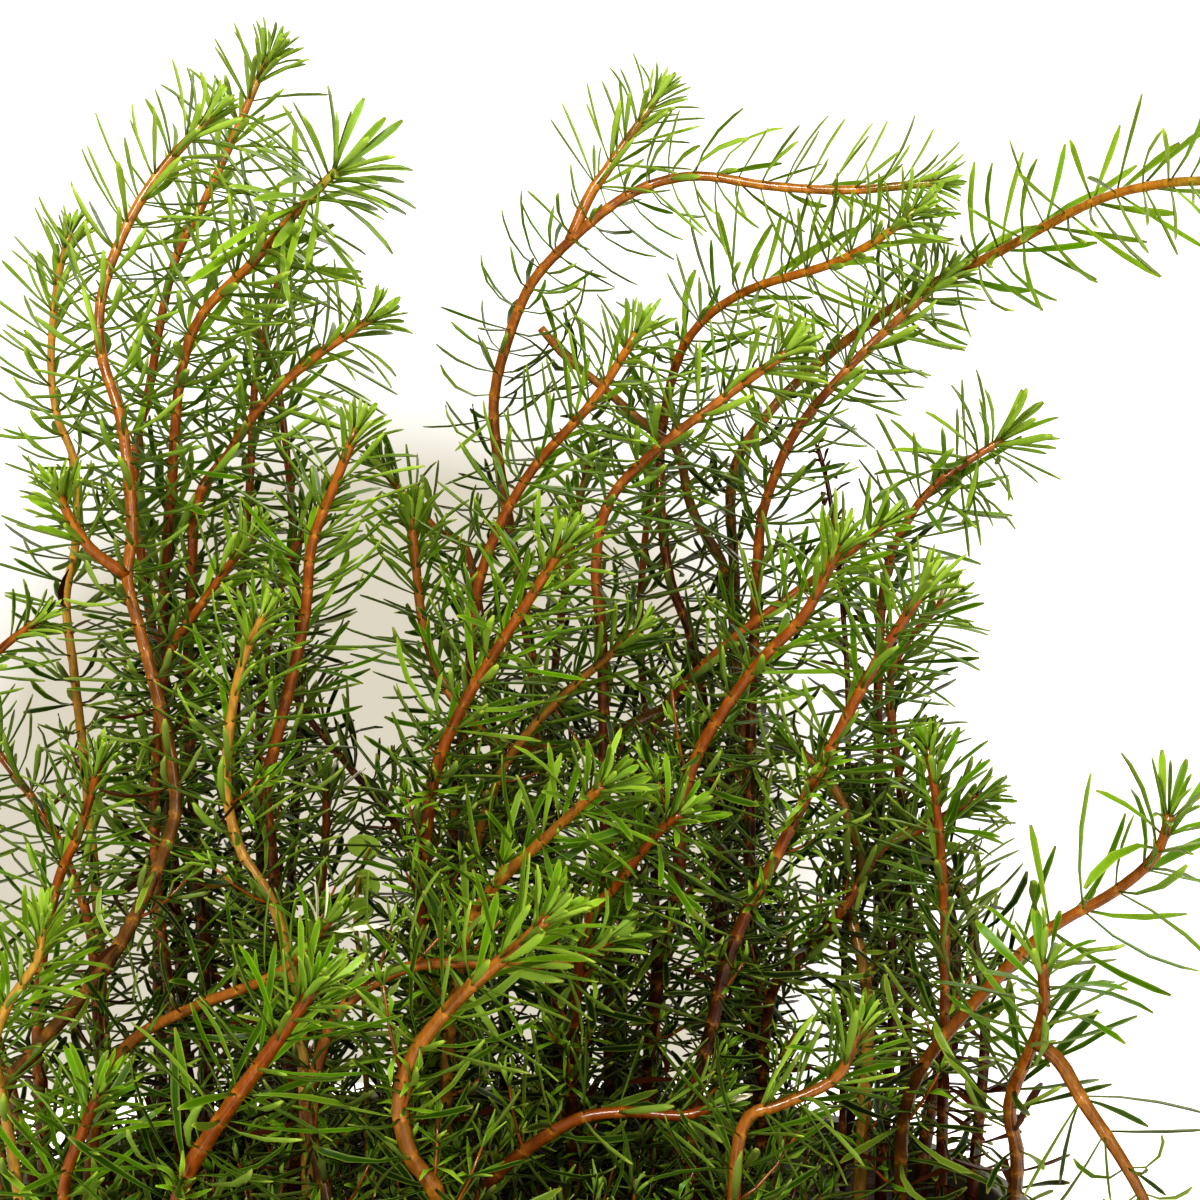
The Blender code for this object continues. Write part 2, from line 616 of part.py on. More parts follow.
def draw_leaf(shape, face, line, place, leaf_length, key, crowd, ground, rng):
    """Draw one face of a whorl out to a leaf's tip, as long as fits between its neighbours."""
    centre, tangent, _ = line.at(place)
    root = np.array(face.calc_center_median())
    out = root - centre
    out -= tangent * (out @ tangent)
    out /= np.linalg.norm(out)
    lean = leaf_lean(line.length - place) + math.radians(rng.uniform(-LEAN_PLAY, LEAN_PLAY))
    heading = out * math.cos(lean) + tangent * math.sin(lean)
    full = leaf_length * rng.uniform(1 - LENGTH_PLAY, 1 + LENGTH_PLAY)
    for share in LEAF_SHARES:
        tip = centre + heading * full * share
        points, radii = leaf_spheres(root, tip)
        above = all(
            ground.find_nearest(Vector(point))[3] > radius + LEAF_CLEARANCE
            for point, radius in zip(points, radii)
        )
        if above and crowd.free(points, radii, root, *key):
            crowd.add(points, radii, *key)
            poked = bmesh.ops.poke(shape, faces=[face])
            poked["verts"][0].co = tip
            for side in poked["faces"]:
                side.material_index = 1
            return


def grow_shoot(name, number, line, rooted, leaf_length, spacing, crowd, ground, rng):
    """One shoot's solid: a stem extruded along its line, with each whorl's faces drawn out to leaves."""
    shape, cap = begin_stem(line, rooted, ground)
    turn = 0.0
    for whorl, place in enumerate(whorl_places(line.length, spacing)):
        turn += WHORL_TURN * (1 if whorl % 2 else -1) + rng.uniform(-TURN_PLAY, TURN_PLAY)
        cap, _ = extrude_ring(shape, cap, line.ring(place - WHORL_WIDTH / 2, turn))
        cap, band = extrude_ring(shape, cap, line.ring(place + WHORL_WIDTH / 2, turn))
        for face in band:
            draw_leaf(shape, face, line, place, leaf_length, (number, whorl), crowd, ground, rng)
    cap, _ = extrude_ring(shape, cap, line.ring(line.length, turn))
    bud = bmesh.ops.poke(shape, faces=[cap])
    bud["verts"][0].co = bud_tip(line, leaf_length)
    bmesh.ops.recalc_face_normals(shape, faces=shape.faces[:])
    mesh = bpy.data.meshes.new(name)
    shape.to_mesh(mesh)
    shape.free()
    return mesh


def add_shoots(collection, ground, *finishes):
    paths, forks = lay_routes()
    radii = {name: stem * MM / 2 for name, stem, *_ in SHOOTS}
    ease_apart(paths, radii, forks)
    for branch, (parent, place) in forks.items():
        if place is not None:
            paths[branch] = start_clear_of_parent(
                paths[branch], paths[parent], place, radii[parent], radii[branch])
    crowd = Crowd(CROWD_ROOM)
    lines = {name: Line(paths[name], radii[name]) for name in paths}
    for number, (name, _, leaf, *_) in enumerate(SHOOTS):
        crowd.add(paths[name], radii[name], number, STEM)
        bud, sizes = leaf_spheres(paths[name][-1], bud_tip(lines[name], leaf * MM))
        crowd.add(bud, sizes, number, STEM)
    rng = random.Random(SEED)
    for number, (name, _, leaf, spacing, *_) in enumerate(SHOOTS):
        line = lines[name]
        rooted = name not in forks or forks[name][1] is None
        mesh = grow_shoot(name, number, line, rooted, leaf * MM, spacing * MM, crowd, ground, rng)
        add_object(name, mesh, collection, *finishes)


def union(target, others):
    """Join meshes that overlap into the target's one solid, and drop the others."""
    for other in others:
        join = target.modifiers.new("Join", "BOOLEAN")
        join.operation = "UNION"
        join.object = other
    graph = bpy.context.evaluated_depsgraph_get()
    mesh = bpy.data.meshes.new_from_object(target.evaluated_get(graph))
    target.modifiers.clear()
    target.data = mesh
    for other in others:
        bpy.data.objects.remove(other)


def round_leaf(across, down, wide, tall, turn, collection, finish):
    """A flattened round leaf that faces the front, its size read in pixels."""
    scale = (SEEDLING_DEPTH * MM - EYE[1]) / FOCAL_PIXELS
    shape = bmesh.new()
    bmesh.ops.create_uvsphere(shape, u_segments=ROUND_LEAF_SIDES, v_segments=ROUND_LEAF_BANDS, radius=1)
    size = (wide * scale / 2, SEEDLING_LEAF_THICKNESS / 2, tall * scale / 2)
    place = Matrix.Translation(Vector(seen_at(across, down, SEEDLING_DEPTH * MM)))
    tilt = Matrix.Rotation(math.radians(turn), 4, "Y") @ Matrix.Rotation(math.radians(turn), 4, "Z")
    upright = Matrix.Rotation(math.radians(90), 4, "X")
    shape.transform(place @ tilt @ Matrix.Diagonal((*size, 1)) @ upright)
    mesh = bpy.data.meshes.new("round_leaf")
    shape.to_mesh(mesh)
    shape.free()
    return add_object("round_leaf", mesh, collection, finish)


def add_seedling(collection, ground, finish):
    """The seedling: a thin stem and three round leaves, as one solid."""
    foot = soil_point(SEEDLING_FOOT[0], SEEDLING_FOOT[1] * MM)
    route = [foot, *(seen_at(*pixel, SEEDLING_DEPTH * MM) for pixel in SEEDLING_STEM)]
    line = Line(smooth_path(route), SEEDLING_RADIUS)
    shape, cap = begin_stem(line, True, ground)
    for distance in np.linspace(0, line.length, SEEDLING_RINGS)[1:]:
        cap, _ = extrude_ring(shape, cap, line.ring(distance, 0))
    bmesh.ops.recalc_face_normals(shape, faces=shape.faces[:])
    mesh = bpy.data.meshes.new("seedling")
    shape.to_mesh(mesh)
    shape.free()
    stem = add_object("seedling", mesh, collection, finish)
    union(stem, [round_leaf(*leaf, collection, finish) for leaf in SEEDLING_LEAVES])


def main():
    clear_scene()
    collection = bpy.data.collections.new("potted_rotala")
    bpy.context.scene.collection.children.link(collection)
    stem, leaf = material("stem"), material("leaf")
    pot = add_pot(collection, material("pot"))
    soil = add_soil(collection, material("soil"))
    ground = surface_tree(pot, soil)
    add_shoots(collection, ground, stem, leaf)
    add_seedling(collection, ground, leaf)


main()
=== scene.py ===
"""A potted clump of needle-leaved rotala, dressed around its solid model.

Metres, +Z up. The origin is the centre of the pot's underside, and the front view looks along +Y.
Each shoot follows the same line as its solid: a stem with ringed joints and whorls of narrow leaves.
"""

import json
import math
import random

import bmesh
import bpy
import numpy as np
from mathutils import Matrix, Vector
from mathutils.kdtree import KDTree
from mathutils.noise import turbulence

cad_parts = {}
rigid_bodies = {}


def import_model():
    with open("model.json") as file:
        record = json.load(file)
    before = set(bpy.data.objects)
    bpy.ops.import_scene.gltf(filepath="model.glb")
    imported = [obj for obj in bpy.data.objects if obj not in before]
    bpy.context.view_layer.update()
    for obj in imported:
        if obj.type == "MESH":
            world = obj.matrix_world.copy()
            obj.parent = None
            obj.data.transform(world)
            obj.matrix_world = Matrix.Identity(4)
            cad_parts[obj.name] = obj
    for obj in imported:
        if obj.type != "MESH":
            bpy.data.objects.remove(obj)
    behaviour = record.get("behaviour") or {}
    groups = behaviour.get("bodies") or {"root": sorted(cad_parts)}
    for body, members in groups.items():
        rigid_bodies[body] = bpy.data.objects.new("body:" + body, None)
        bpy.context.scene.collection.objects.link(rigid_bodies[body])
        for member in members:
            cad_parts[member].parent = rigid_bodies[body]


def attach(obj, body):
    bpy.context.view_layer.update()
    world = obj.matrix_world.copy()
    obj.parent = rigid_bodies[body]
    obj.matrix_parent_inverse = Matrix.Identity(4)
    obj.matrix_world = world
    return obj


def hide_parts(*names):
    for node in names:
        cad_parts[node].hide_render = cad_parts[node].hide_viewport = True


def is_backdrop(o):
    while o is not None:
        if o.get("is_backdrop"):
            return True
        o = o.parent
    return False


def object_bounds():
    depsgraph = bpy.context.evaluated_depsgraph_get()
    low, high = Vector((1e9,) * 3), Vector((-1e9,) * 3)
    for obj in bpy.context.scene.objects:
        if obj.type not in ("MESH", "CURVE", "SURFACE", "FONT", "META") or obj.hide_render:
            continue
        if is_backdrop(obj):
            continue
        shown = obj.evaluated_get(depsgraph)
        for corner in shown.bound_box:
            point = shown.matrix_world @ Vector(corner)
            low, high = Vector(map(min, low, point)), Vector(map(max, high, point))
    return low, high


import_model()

CAD_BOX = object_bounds()

bl_info = {
    "name": "Potted rotala",
    "version": (1, 0, 0),
    "blender": (4, 5, 0),
    "location": "View3D > Sidebar > Rotala",
    "description": "Builds a clump of needle-leaved rotala in a round pot",
    "category": "Add Mesh",
}

MM = 0.001
BODY = "root"
SEED = 11

# Pot and soil, as the solids have them
RIM_DIAMETER = 150 * MM
FOOT_DIAMETER = 112 * MM
POT_HEIGHT = 95 * MM
POT_WALL = 2.4 * MM
POT_FLOOR = 3.0 * MM
LIP_HEIGHT = 9 * MM
LIP_PROUD = 1.6 * MM
SOIL_EDGE = POT_HEIGHT - 5.0 * MM
SOIL_RISE = 4.0 * MM
SOIL_LUMP = 0.9 * MM
SOIL_WAVES = (9 * MM, 7 * MM, 5 * MM)
GAP = 0.3 * MM

# Front view: the eye, and the pixels of a 1200 by 1200 frame that the routes are read in
EYE = (13.4 * MM, -299 * MM, 180.6 * MM)
FRAME_CENTRE = 600
FOCAL_PIXELS = 2120
SENSOR = 36

# Stem lines, as the solids have them
PATH_SAMPLES = 96
SPAN_STEPS = 24
STEM_CLEARANCE = 1.4 * MM
EASE_ROUNDS = 24
EASE_SPREAD = 9
FORK_REACH = 9 * MM
TAPER = 0.62
FIRST_SIDE = (0, 1, 0.3)

# Each shoot: name, stem diameter and leaf length in mm, where it starts, the depth of its tip in mm
# behind the pot's axis, and the pixels its stem passes, from low to high.
# It starts in the soil at (pixel across, depth in mm), or on another shoot at (name, pixel, pixel).
# A pixel may carry a depth of its own, where the stem doesn't lean evenly from foot to tip.
SHOOTS = (
    ("left_arch", 2.4, 9.5, (5, -20), -12,
     (0, 1110), (38, 1047), (97, 979), (138, 910), (173, 825), (172, 765), (157, 695), (137, 620),
     (127, 578), (132, 525), (122, 425), (101, 352), (102, 295), (125, 230), (160, 172), (213, 113)),
    ("left_arch_side", 2.1, 8.5, ("left_arch", 127, 573), -22,
     (110, 564), (90, 548), (72, 522), (57, 490)),
    ("tall_left", 2.2, 9.5, (165, 35), 22,
     (158, 950), (168, 800), (160, 690), (148, 600), (137, 520), (136, 450), (150, 385), (160, 325),
     (176, 258), (205, 200), (237, 130), (260, 75), (272, 52)),
    ("left_crown", 2.3, 10.5, (190, 20), -15,
     (180, 950), (168, 800), (163, 620), (172, 480), (180, 380), (201, 316), (255, 260), (301, 207),
     (337, 170)),
    ("ochre_left", 2.0, 8.5, (110, 25), 12,
     (100, 950), (86, 780), (74, 672), (66, 600), (76, 540), (75, 465), (57, 415), (51, 360),
     (57, 285), (70, 232)),
    ("far_left", 2.1, 8.5, (45, 5), 0,
     (0, 1050), (-45, 920), (-55, 800), (-40, 700), (0, 650), (42, 618)),
    ("left_edge", 2.1, 8.5, (110, 12), 20,
     (97, 1010), (90, 930), (74, 878), (46, 818), (0, 755), (-28, 718), (-40, 690)),
    ("left_low", 2.2, 9, (50, -8), -14,
     (38, 1060), (40, 980), (50, 915), (62, 870), (80, 830), (101, 760)),
    ("back_left_small", 1.9, 8.5, (275, 48), 35,
     (290, 900), (300, 700), (292, 520), (283, 420), (272, 362), (252, 323)),
    ("left_middle", 2.3, 9.5, (210, 12), -5,
     (205, 980), (196, 850), (188, 700), (191, 590), (198, 500), (228, 455), (262, 405), (311, 360),
     (372, 318)),
    ("left_inner", 2.1, 9, (185, 2), -10,
     (172, 1020), (158, 900), (155, 780), (166, 665), (204, 601), (254, 532)),
    ("ochre_middle", 2.2, 9, (310, -12), -22,
     (300, 1020), (276, 912), (241, 851), (228, 800), (228, 745), (240, 670), (265, 612)),
    ("mid_left", 2.4, 10, (295, 0), -18,
     (288, 1000), (273, 866), (266, 790), (278, 734), (304, 622), (312, 545), (337, 479), (357, 428)),
    ("dark_back_left", 2.0, 8.5, (240, 40), 30,
     (238, 900), (236, 720), (243, 580), (250, 480), (256, 375), (275, 293), (291, 243)),
    ("behind_mid_left", 2.0, 8.5, (270, 30), 20,
     (262, 900), (258, 760), (268, 640), (285, 570), (303, 535), (326, 495)),
    ("crossing_back", 2.0, 8.5, (440, 38), 28,
     (432, 1000), (415, 880), (400, 830), (352, 770), (306, 714), (284, 670)),
    ("big_arch", 2.3, 9.5, (560, 36), -5,
     (556, 950), (545, 800), (530, 650), (512, 540), (497, 451), (494, 400), (505, 349), (530, 286),
     (571, 240), (630, 194), (693, 176), (770, 186), (851, 190), (937, 182)),
    ("big_arch_side", 2.1, 9.5, ("big_arch", 572, 239), 5,
     (590, 195), (612, 163), (640, 122), (658, 95)),
    ("arch_leg", 2.3, 8.5, (752, 42), 12,
     (750, 900), (742, 720), (727, 579), (701, 528), (688, 497), (678, 452), (650, 430), (600, 385),
     (565, 356), (541, 328)),
    ("centre_crown", 2.3, 10, (440, 26), -8,
     (445, 950), (456, 800), (468, 690), (476, 600), (494, 538), (533, 469), (594, 400), (637, 333)),
    ("centre_right", 2.3, 9.5, (612, 16), -9,
     (608, 950), (605, 800), (602, 645), (596, 566), (609, 502), (655, 451), (721, 400), (792, 349)),
    ("upper_right", 2.2, 9.5, (722, 32), -10,
     (720, 950), (712, 780), (693, 645), (670, 579), (660, 490), (665, 410, 18), (688, 339),
     (742, 293, 7), (828, 265), (877, 240), (917, 210)),
    ("right_lean", 2.3, 9.5, (765, 26), 4,
     (752, 950), (750, 780), (755, 620), (760, 530), (772, 484), (798, 428), (856, 360), (902, 316),
     (947, 276)),
    ("long_runner", 2.3, 10.5, (715, 45), -30,
     (722, 950), (730, 780), (735, 600), (732, 480), (767, 415), (826, 357, 22), (915, 293, 12),
     (996, 253), (1093, 202), (1160, 184), (1222, 180)),
    ("star_right", 2.2, 9.5, (840, 38), 14,
     (872, 1000), (880, 850), (878, 700), (885, 580), (910, 517), (943, 479), (1001, 440)),
    ("long_diagonal", 2.3, 9.5, (618, 28), 5,
     (622, 980), (628, 850), (640, 765), (665, 708), (706, 663), (752, 624), (820, 575), (886, 522)),
    ("low_branch", 2.2, 9.5, ("long_diagonal", 665, 708), -2,
     (640, 721), (584, 742), (515, 750), (480, 730), (443, 681), (423, 624), (415, 553), (411, 512)),
    ("right_thick", 2.6, 10, (648, 6), -22,
     (650, 1060), (658, 979), (678, 880), (681, 813), (701, 747), (757, 665), (805, 614), (840, 545)),
    ("right_middle", 2.5, 10, (690, -6), -18,
     (696, 1098), (711, 1030), (734, 943), (783, 843), (838, 734), (879, 658), (927, 585)),
    ("behind_right", 2.0, 9, (898, 25), 5,
     (908, 1000), (906, 850), (893, 730), (889, 690), (903, 648), (946, 598)),
    ("small_star", 2.0, 8.5, (940, -3), -20,
     (945, 980), (943, 880), (936, 800), (928, 748)),
    ("low_right", 2.2, 9, (760, 14), -2,
     (768, 1010), (800, 958), (845, 905), (880, 850), (922, 828), (984, 795)),
    ("glossy_stem", 2.4, 8.5, (858, 4), 8,
     (868, 1030), (862, 960), (851, 910), (861, 861), (841, 800), (815, 765), (790, 742)),
    ("right_back_branch", 2.1, 8.5, (968, 3), 6,
     (985, 1040), (976, 950), (966, 902), (935, 856), (905, 822)),
    ("far_right", 2.3, 12, (902, -10), -42,
     (902, 1132), (922, 1068), (966, 1012), (1042, 935), (1114, 892), (1155, 856), (1170, 815)),
    ("front_right", 2.4, 12.5, (1000, -18), -60,
     (1017, 1170), (1010, 1116), (1014, 1088), (1042, 1019), (1043, 962)),
    ("front_right_trailer", 2.2, 10, ("front_right", 1034, 1040), -58,
     (1060, 1062), (1083, 1101), (1119, 1155), (1144, 1200), (1156, 1238)),
    ("front_low_right", 2.3, 10, (738, -38), -42,
     (734, 1200), (745, 1122), (783, 1104), (838, 1076), (860, 1026)),
    ("front_creeper", 2.4, 10, (468, -24), -30,
     (484, 1193), (517, 1157), (573, 1121), (624, 1112), (681, 1116), (716, 1106)),
    ("front_s_curve", 2.8, 11, (455, -42), -55,
     (438, 1200), (410, 1155), (400, 1098), (420, 1045), (466, 991), (520, 945), (550, 915)),
    ("long_low_left", 2.3, 10, (340, -30), -22,
     (327, 1200), (309, 1119), (316, 1070), (342, 1009), (398, 971), (451, 963), (528, 966),
     (579, 956), (614, 937)),
    ("low_left_runner", 2.3, 9.5, (85, -12), -28,
     (97, 1111), (128, 1045), (194, 1007), (278, 973), (332, 918)),
    ("front_left_thick", 2.9, 12, (165, -42), -58,
     (179, 1200), (209, 1137), (265, 1058), (314, 988)),
    ("front_far_left", 2.3, 10, (72, -36), -48,
     (64, 1193), (84, 1129), (98, 1093)),
    ("pale_left", 2.0, 9.5, (38, -30), -42,
     (5, 1110), (-6, 1050), (8, 1005), (36, 963), (43, 928)),
    ("low_upright", 2.1, 9, (325, 16), 6,
     (322, 980), (321, 902), (326, 831), (326, 783)),
    ("centre_front", 2.4, 10, (430, 4), -28,
     (422, 1060), (421, 945), (431, 795), (459, 714), (505, 637), (538, 586), (565, 542)),
    ("centre_small", 2.0, 9, (462, 12), -4,
     (464, 960), (472, 870), (487, 808), (515, 749), (563, 696), (604, 660), (638, 630)),
    ("centre_low", 2.4, 10, (445, -4), -34,
     (448, 1050), (466, 940), (492, 889), (551, 833), (603, 785)),
    ("centre_low_right", 2.2, 9.5, (572, 0), -26,
     (574, 1020), (591, 920), (617, 884), (655, 836), (681, 813)),
    ("back_leaning_left", 2.1, 8.5, (505, 44), 30,
     (502, 900), (492, 720), (470, 560), (437, 530), (400, 490), (378, 462)),
    ("back_upright", 2.0, 8.5, (548, 52), 40,
     (550, 900), (553, 700), (565, 590), (580, 500), (592, 452)),
    ("back_centre", 2.0, 8.5, (655, 52), 42,
     (655, 900), (650, 760), (640, 640), (645, 540), (655, 478)),
    ("bare_twig", 1.3, 5, (842, 26), 22,
     (845, 900), (848, 700), (838, 560), (828, 487), (817, 445)),
    ("back_right_dark", 2.0, 8.5, (880, 20), 18,
     (893, 1000), (888, 900), (876, 830), (858, 785)),
    ("right_dark_stem", 2.6, 8.5, (918, 13), 16,
     (930, 1110), (950, 1030), (956, 960), (948, 900), (930, 858)),
    ("left_dark_low", 2.0, 8.5, (200, 26), 20,
     (205, 1000), (207, 933), (196, 879), (179, 846), (157, 812), (135, 795)),
)

# Habits that differ from the usual: mm between whorls, leaves in a whorl, leaf width in mm, how ochre
# the stem is from 0 to 1, how old the whole shoot looks, in mm added to the distance from its tip, how
# many degrees its tuft is opened, the share of its tip leaves that are white, how far its leaves turn
# upright from 0 to 1 where the stem leans, how much each step between whorls outgrows the last, and its
# leaves' length as a share of the usual
HABIT = {"internode": 3.7, "leaves": 7, "width": 1.0, "ochre": 0.0, "older": 0, "open": 0, "white": 0.0,
         "upright": 0.0, "growth": 1.42, "long": 1.0}
HABITS = {
    "left_arch": {"ochre": 0.15},
    "left_arch_side": {"leaves": 7},
    "left_crown": {"leaves": 8, "width": 1.22, "open": 56, "growth": 1.1},
    "ochre_left": {"ochre": 0.9},
    "left_middle": {"width": 1.0, "open": 12},
    "ochre_middle": {"ochre": 0.85, "leaves": 7, "width": 0.85},
    "mid_left": {"leaves": 7, "width": 0.95},
    "dark_back_left": {"older": 35},
    "behind_mid_left": {"older": 30},
    "back_left_small": {"older": 25},
    "crossing_back": {"older": 40},
    "big_arch": {"internode": 3.3, "leaves": 5, "width": 0.8, "ochre": 0.1},
    "big_arch_side": {"width": 0.82},
    "arch_leg": {"older": 55, "leaves": 5, "ochre": 0.3},
    "centre_crown": {"leaves": 7, "width": 1.0, "open": 8},
    "centre_right": {"leaves": 7, "open": 8},
    "upper_right": {"leaves": 7, "width": 1.0},
    "long_runner": {"internode": 4.3, "leaves": 5, "width": 1.05, "ochre": 0.25},
    "star_right": {"leaves": 7, "width": 1.2, "open": 52, "growth": 1.14},
    "long_diagonal": {"leaves": 7, "width": 1.05},
    "low_branch": {"leaves": 7, "ochre": 0.2},
    "right_thick": {"leaves": 7, "internode": 4.4, "width": 1.0},
    "right_middle": {"leaves": 7, "internode": 4.2, "width": 1.0, "open": 10},
    "behind_right": {"width": 0.95, "older": 10, "white": 0.3},
    "glossy_stem": {"leaves": 5, "ochre": 0.45, "older": 30},
    "far_right": {"internode": 5.2, "leaves": 5, "width": 1.12, "ochre": 0.1, "open": 12},
    "front_right": {"internode": 4.2, "leaves": 5, "width": 1.1, "ochre": 0.1, "open": 22, "upright": 0.8,
                    "older": 12, "long": 0.78},
    "front_right_trailer": {"internode": 4.6, "leaves": 5, "width": 0.72, "ochre": 0.2, "older": 35},
    "front_low_right": {"internode": 4.4, "width": 1.0, "ochre": 0.2},
    "front_creeper": {"internode": 4.6, "leaves": 5, "width": 0.95, "white": 0.12},
    "front_s_curve": {"internode": 5.0, "width": 1.02, "ochre": 0.25},
    "long_low_left": {"internode": 4.8, "ochre": 0.12},
    "low_left_runner": {"internode": 4.4, "width": 0.95, "ochre": 0.2, "white": 0.4},
    "front_left_thick": {"internode": 4.4, "leaves": 7, "width": 1.0},
    "pale_left": {"ochre": 1.0, "width": 0.95},
    "low_upright": {"white": 0.35},
    "centre_small": {"leaves": 7, "ochre": 0.5},
    "centre_low": {"leaves": 7, "width": 1.05, "ochre": 0.3, "open": 15},
    "centre_low_right": {"leaves": 7, "width": 1.05, "open": 15},
    "back_leaning_left": {"older": 25},
    "back_upright": {"older": 35},
    "back_centre": {"older": 35},
    "back_right_dark": {"older": 60},
    "right_dark_stem": {"older": 120, "leaves": 5},
    "right_back_branch": {"older": 25},
    "left_dark_low": {"older": 25},
    "bare_twig": {"leaves": 3, "older": 90},
    "centre_front": {"leaves": 7},
}
DRY_SHOOTS = ("bare_twig",)

# Leaves
LEAF_STATIONS = (0.0, 0.28, 0.6, 0.86, 1.0)
LEAF_WIDTHS = (0.36, 0.64, 1.0, 0.92, 0.34)
SMALL_STATIONS = (0.0, 0.55, 1.0)
SMALL_WIDTHS = (0.45, 1.0, 0.35)
LEAF_CORNERS = 4
WHITE_AGE = -1.0
TUFT_DEPTH = 4 * MM
OPEN_AT = 6.5 * MM
WIDE_OPEN = 100
LEAF_AGE_SPAN = 135 * MM
BARE_FOOT = 6 * MM
TIP_STEP = 1.1 * MM
SHED_FROM = 42 * MM
SHED_SPAN = 58 * MM

# Each row: mm short of the tip, and there the leaf's length as a share of the full one, its lean
# towards the tip and its bend from root to tip, in degrees
LEAF_FORMS = (
    (0.0, 0.42, 76, -6),
    (1.5, 0.62, 64, -18),
    (3.5, 0.88, 54, -24),
    (7.0, 1.1, 40, -10),
    (14.0, 1.24, 26, 12),
    (28.0, 1.28, 13, 30),
    (50.0, 1.2, 2, 36),
    (90.0, 1.06, -4, 30),
    (150.0, 0.85, -8, 0),
)

# Stems
STEM_FULL = 0.86
STEM_SIDES = 10
STEM_STEP = 1.6 * MM
JOINT_RINGS = (-0.8 * MM, -0.3 * MM, 0.0, 0.35 * MM, 0.9 * MM)
JOINT_SWELL = 0.07
JOINT_WIDTH = 0.65 * MM
FOOT_SINK = 3 * MM
STEM_WOBBLE = 0.02
STEM_AGE_SPAN = 140 * MM
SMOOTH_TIP = 9 * MM
CROWDED = 0.22 * MM

# Sprigs: short side growth near the soil
SPRIG_TOP = 66 * MM
SPRIG_BELOW_TIP = 26 * MM
SPRIG_SHARE = 0.9
SPRIG_LENGTHS = (4 * MM, 9 * MM)
SPRIG_LEAF = (3.5 * MM, 6.5 * MM)
SPRIG_LEAF_WIDTH = 0.7 * MM
SPRIG_RINGS = 4
SPRIG_SIDES = 5
SPRIG_RADIUS = 0.28 * MM
SPRIG_WHORLS = (0.35, 0.7, 1.0)
SPRIG_LEAVES = 4

# Low growth: seedling shoots and moss that stand on the soil
LOW_SHOOTS = 430
LOW_REACH = 68 * MM
BARE_RIGHT = (22 * MM, 46 * MM)
LOW_HEIGHTS = (5 * MM, 14 * MM)
LOW_WHORLS = (0.3, 0.55, 0.8, 1.0)

# Seedling: pixels of its stem, and its round leaves as (across, down, wide, tall, turn in degrees)
SEEDLING_FOOT = (368, 14)
SEEDLING_DEPTH = 8 * MM
SEEDLING_STEM = ((364, 1000), (356, 930), (357, 890), (362, 868), (370, 848))
SEEDLING_LEAVES = ((364, 846, 34, 24, 10), (368, 882, 33, 30, -35), (361, 908, 28, 24, 30))
SEEDLING_RADIUS = 0.55 * MM
SEEDLING_THICKNESS = 0.42 * MM

# Litter: crumbs of soil and bark, pale gravel and shed leaves; each crumb is a dented icosahedron
CRUMBS = 900
CRUMB_SIZES = (0.35 * MM, 1.1 * MM)
GRAVEL_SHARE = 0.05
GRAVEL_SIZES = (0.6 * MM, 1.5 * MM)
SHED_LEAVES = 150
TWIGS = 26
POT_SEGMENTS = 144
SOIL_SEGMENTS = 180
SOIL_SURFACE_RINGS = 56

# Stage: the floor glows as painted light, weaker round the pot than further off, and faintly onto the clump
SKY_SEEN = 1.3
FLOOR_BOUNCE = 0.14
FLOOR_RADIUS = 0.5
FLOOR_NEAR = 0.45
FLOOR_FAR = 1.1
FADE_FROM = 0.14
FADE_TO = 0.44

# The painted shade behind the clump, a warm grey patch in the surround that stands in for the clump's shadow on a
# backdrop, as directions from the eye: its middle, its half width and half height
SHADE_PATCH_MIDDLE = (-0.1, 1.0, -0.11)
SHADE_PATCH_HALF = (0.25, 1.0, 0.24)
SHADE_PATCH_EDGE = 0.7


def settings(name):
    return getattr(bpy.context.scene, name)


def linear(hex_colour):
    """An sRGB hex colour as the linear values that shaders and lights take."""
    shares = [int(hex_colour[i:i + 2], 16) / 255 for i in (1, 3, 5)]
    return tuple(s / 12.92 if s <= 0.04045 else ((s + 0.055) / 1.055) ** 2.4 for s in shares)


def size(name, description, millimetres):
    return bpy.props.FloatProperty(
        name=name, description=description, default=millimetres * MM, min=0.0,
        unit="LENGTH", subtype="DISTANCE", precision=5)


def share(name, description, value):
    return bpy.props.FloatProperty(
        name=name, description=description, default=value, min=0.0, max=1.0, subtype="FACTOR")


def count(name, description, value):
    return bpy.props.IntProperty(name=name, description=description, default=value, min=1)


def colour(name, description, hex_colour):
    return bpy.props.FloatVectorProperty(
        name=name, description=description, default=linear(hex_colour), min=0.0, max=1.0,
        size=3, subtype="COLOR")


class RotalaShootSettings(bpy.types.PropertyGroup):
    """Sizes and colours of the stems and leaves."""

    leaf_thickness: size("Leaf thickness", "Thickness of a leaf at its midrib", 0.26)
    stem_sides: count("Stem sides", "Faces around a stem", STEM_SIDES)
    leaf_tip: colour("Youngest leaf", "Leaves in the tuft at a shoot's tip", "#82A23E")
    leaf_young: colour("Young leaf", "Leaves just below the tip", "#7A9822")
    leaf_green: colour("Green leaf", "Leaves half way down a shoot", "#527A00")
    # The old and oldest leaf colours end the ramp that also carries painted shade, so they stand for leaves in the
    # clump's shade too.
    leaf_old_shaded: colour("Old leaf", "Leaves low on a shoot", "#213A00")
    leaf_oldest_shaded: colour("Oldest leaf", "Leaves at the foot, shaded and dull", "#101A00")
    leaf_dead: colour("Withered leaf", "Leaves that have dried on the stem", "#3E1D08")
    leaf_white: colour("White leaf", "Tip leaves that grew without green", "#E9E7CC")
    stem_tip: colour("Stem tip", "The youngest stem, yellow-green", "#949030")
    stem_young: colour("Young stem", "Orange stem below the tip", "#AA6A1A")
    stem_red: colour("Red stem", "Most of the stem", "#80420A")
    # The old stem colour also ends the ramp that carries painted shade inside the clump.
    stem_old_shaded: colour("Old stem", "The dark stem near the soil", "#3A1404")
    stem_ochre: colour("Ochre stem", "Stems that stay yellow", "#B08C38")


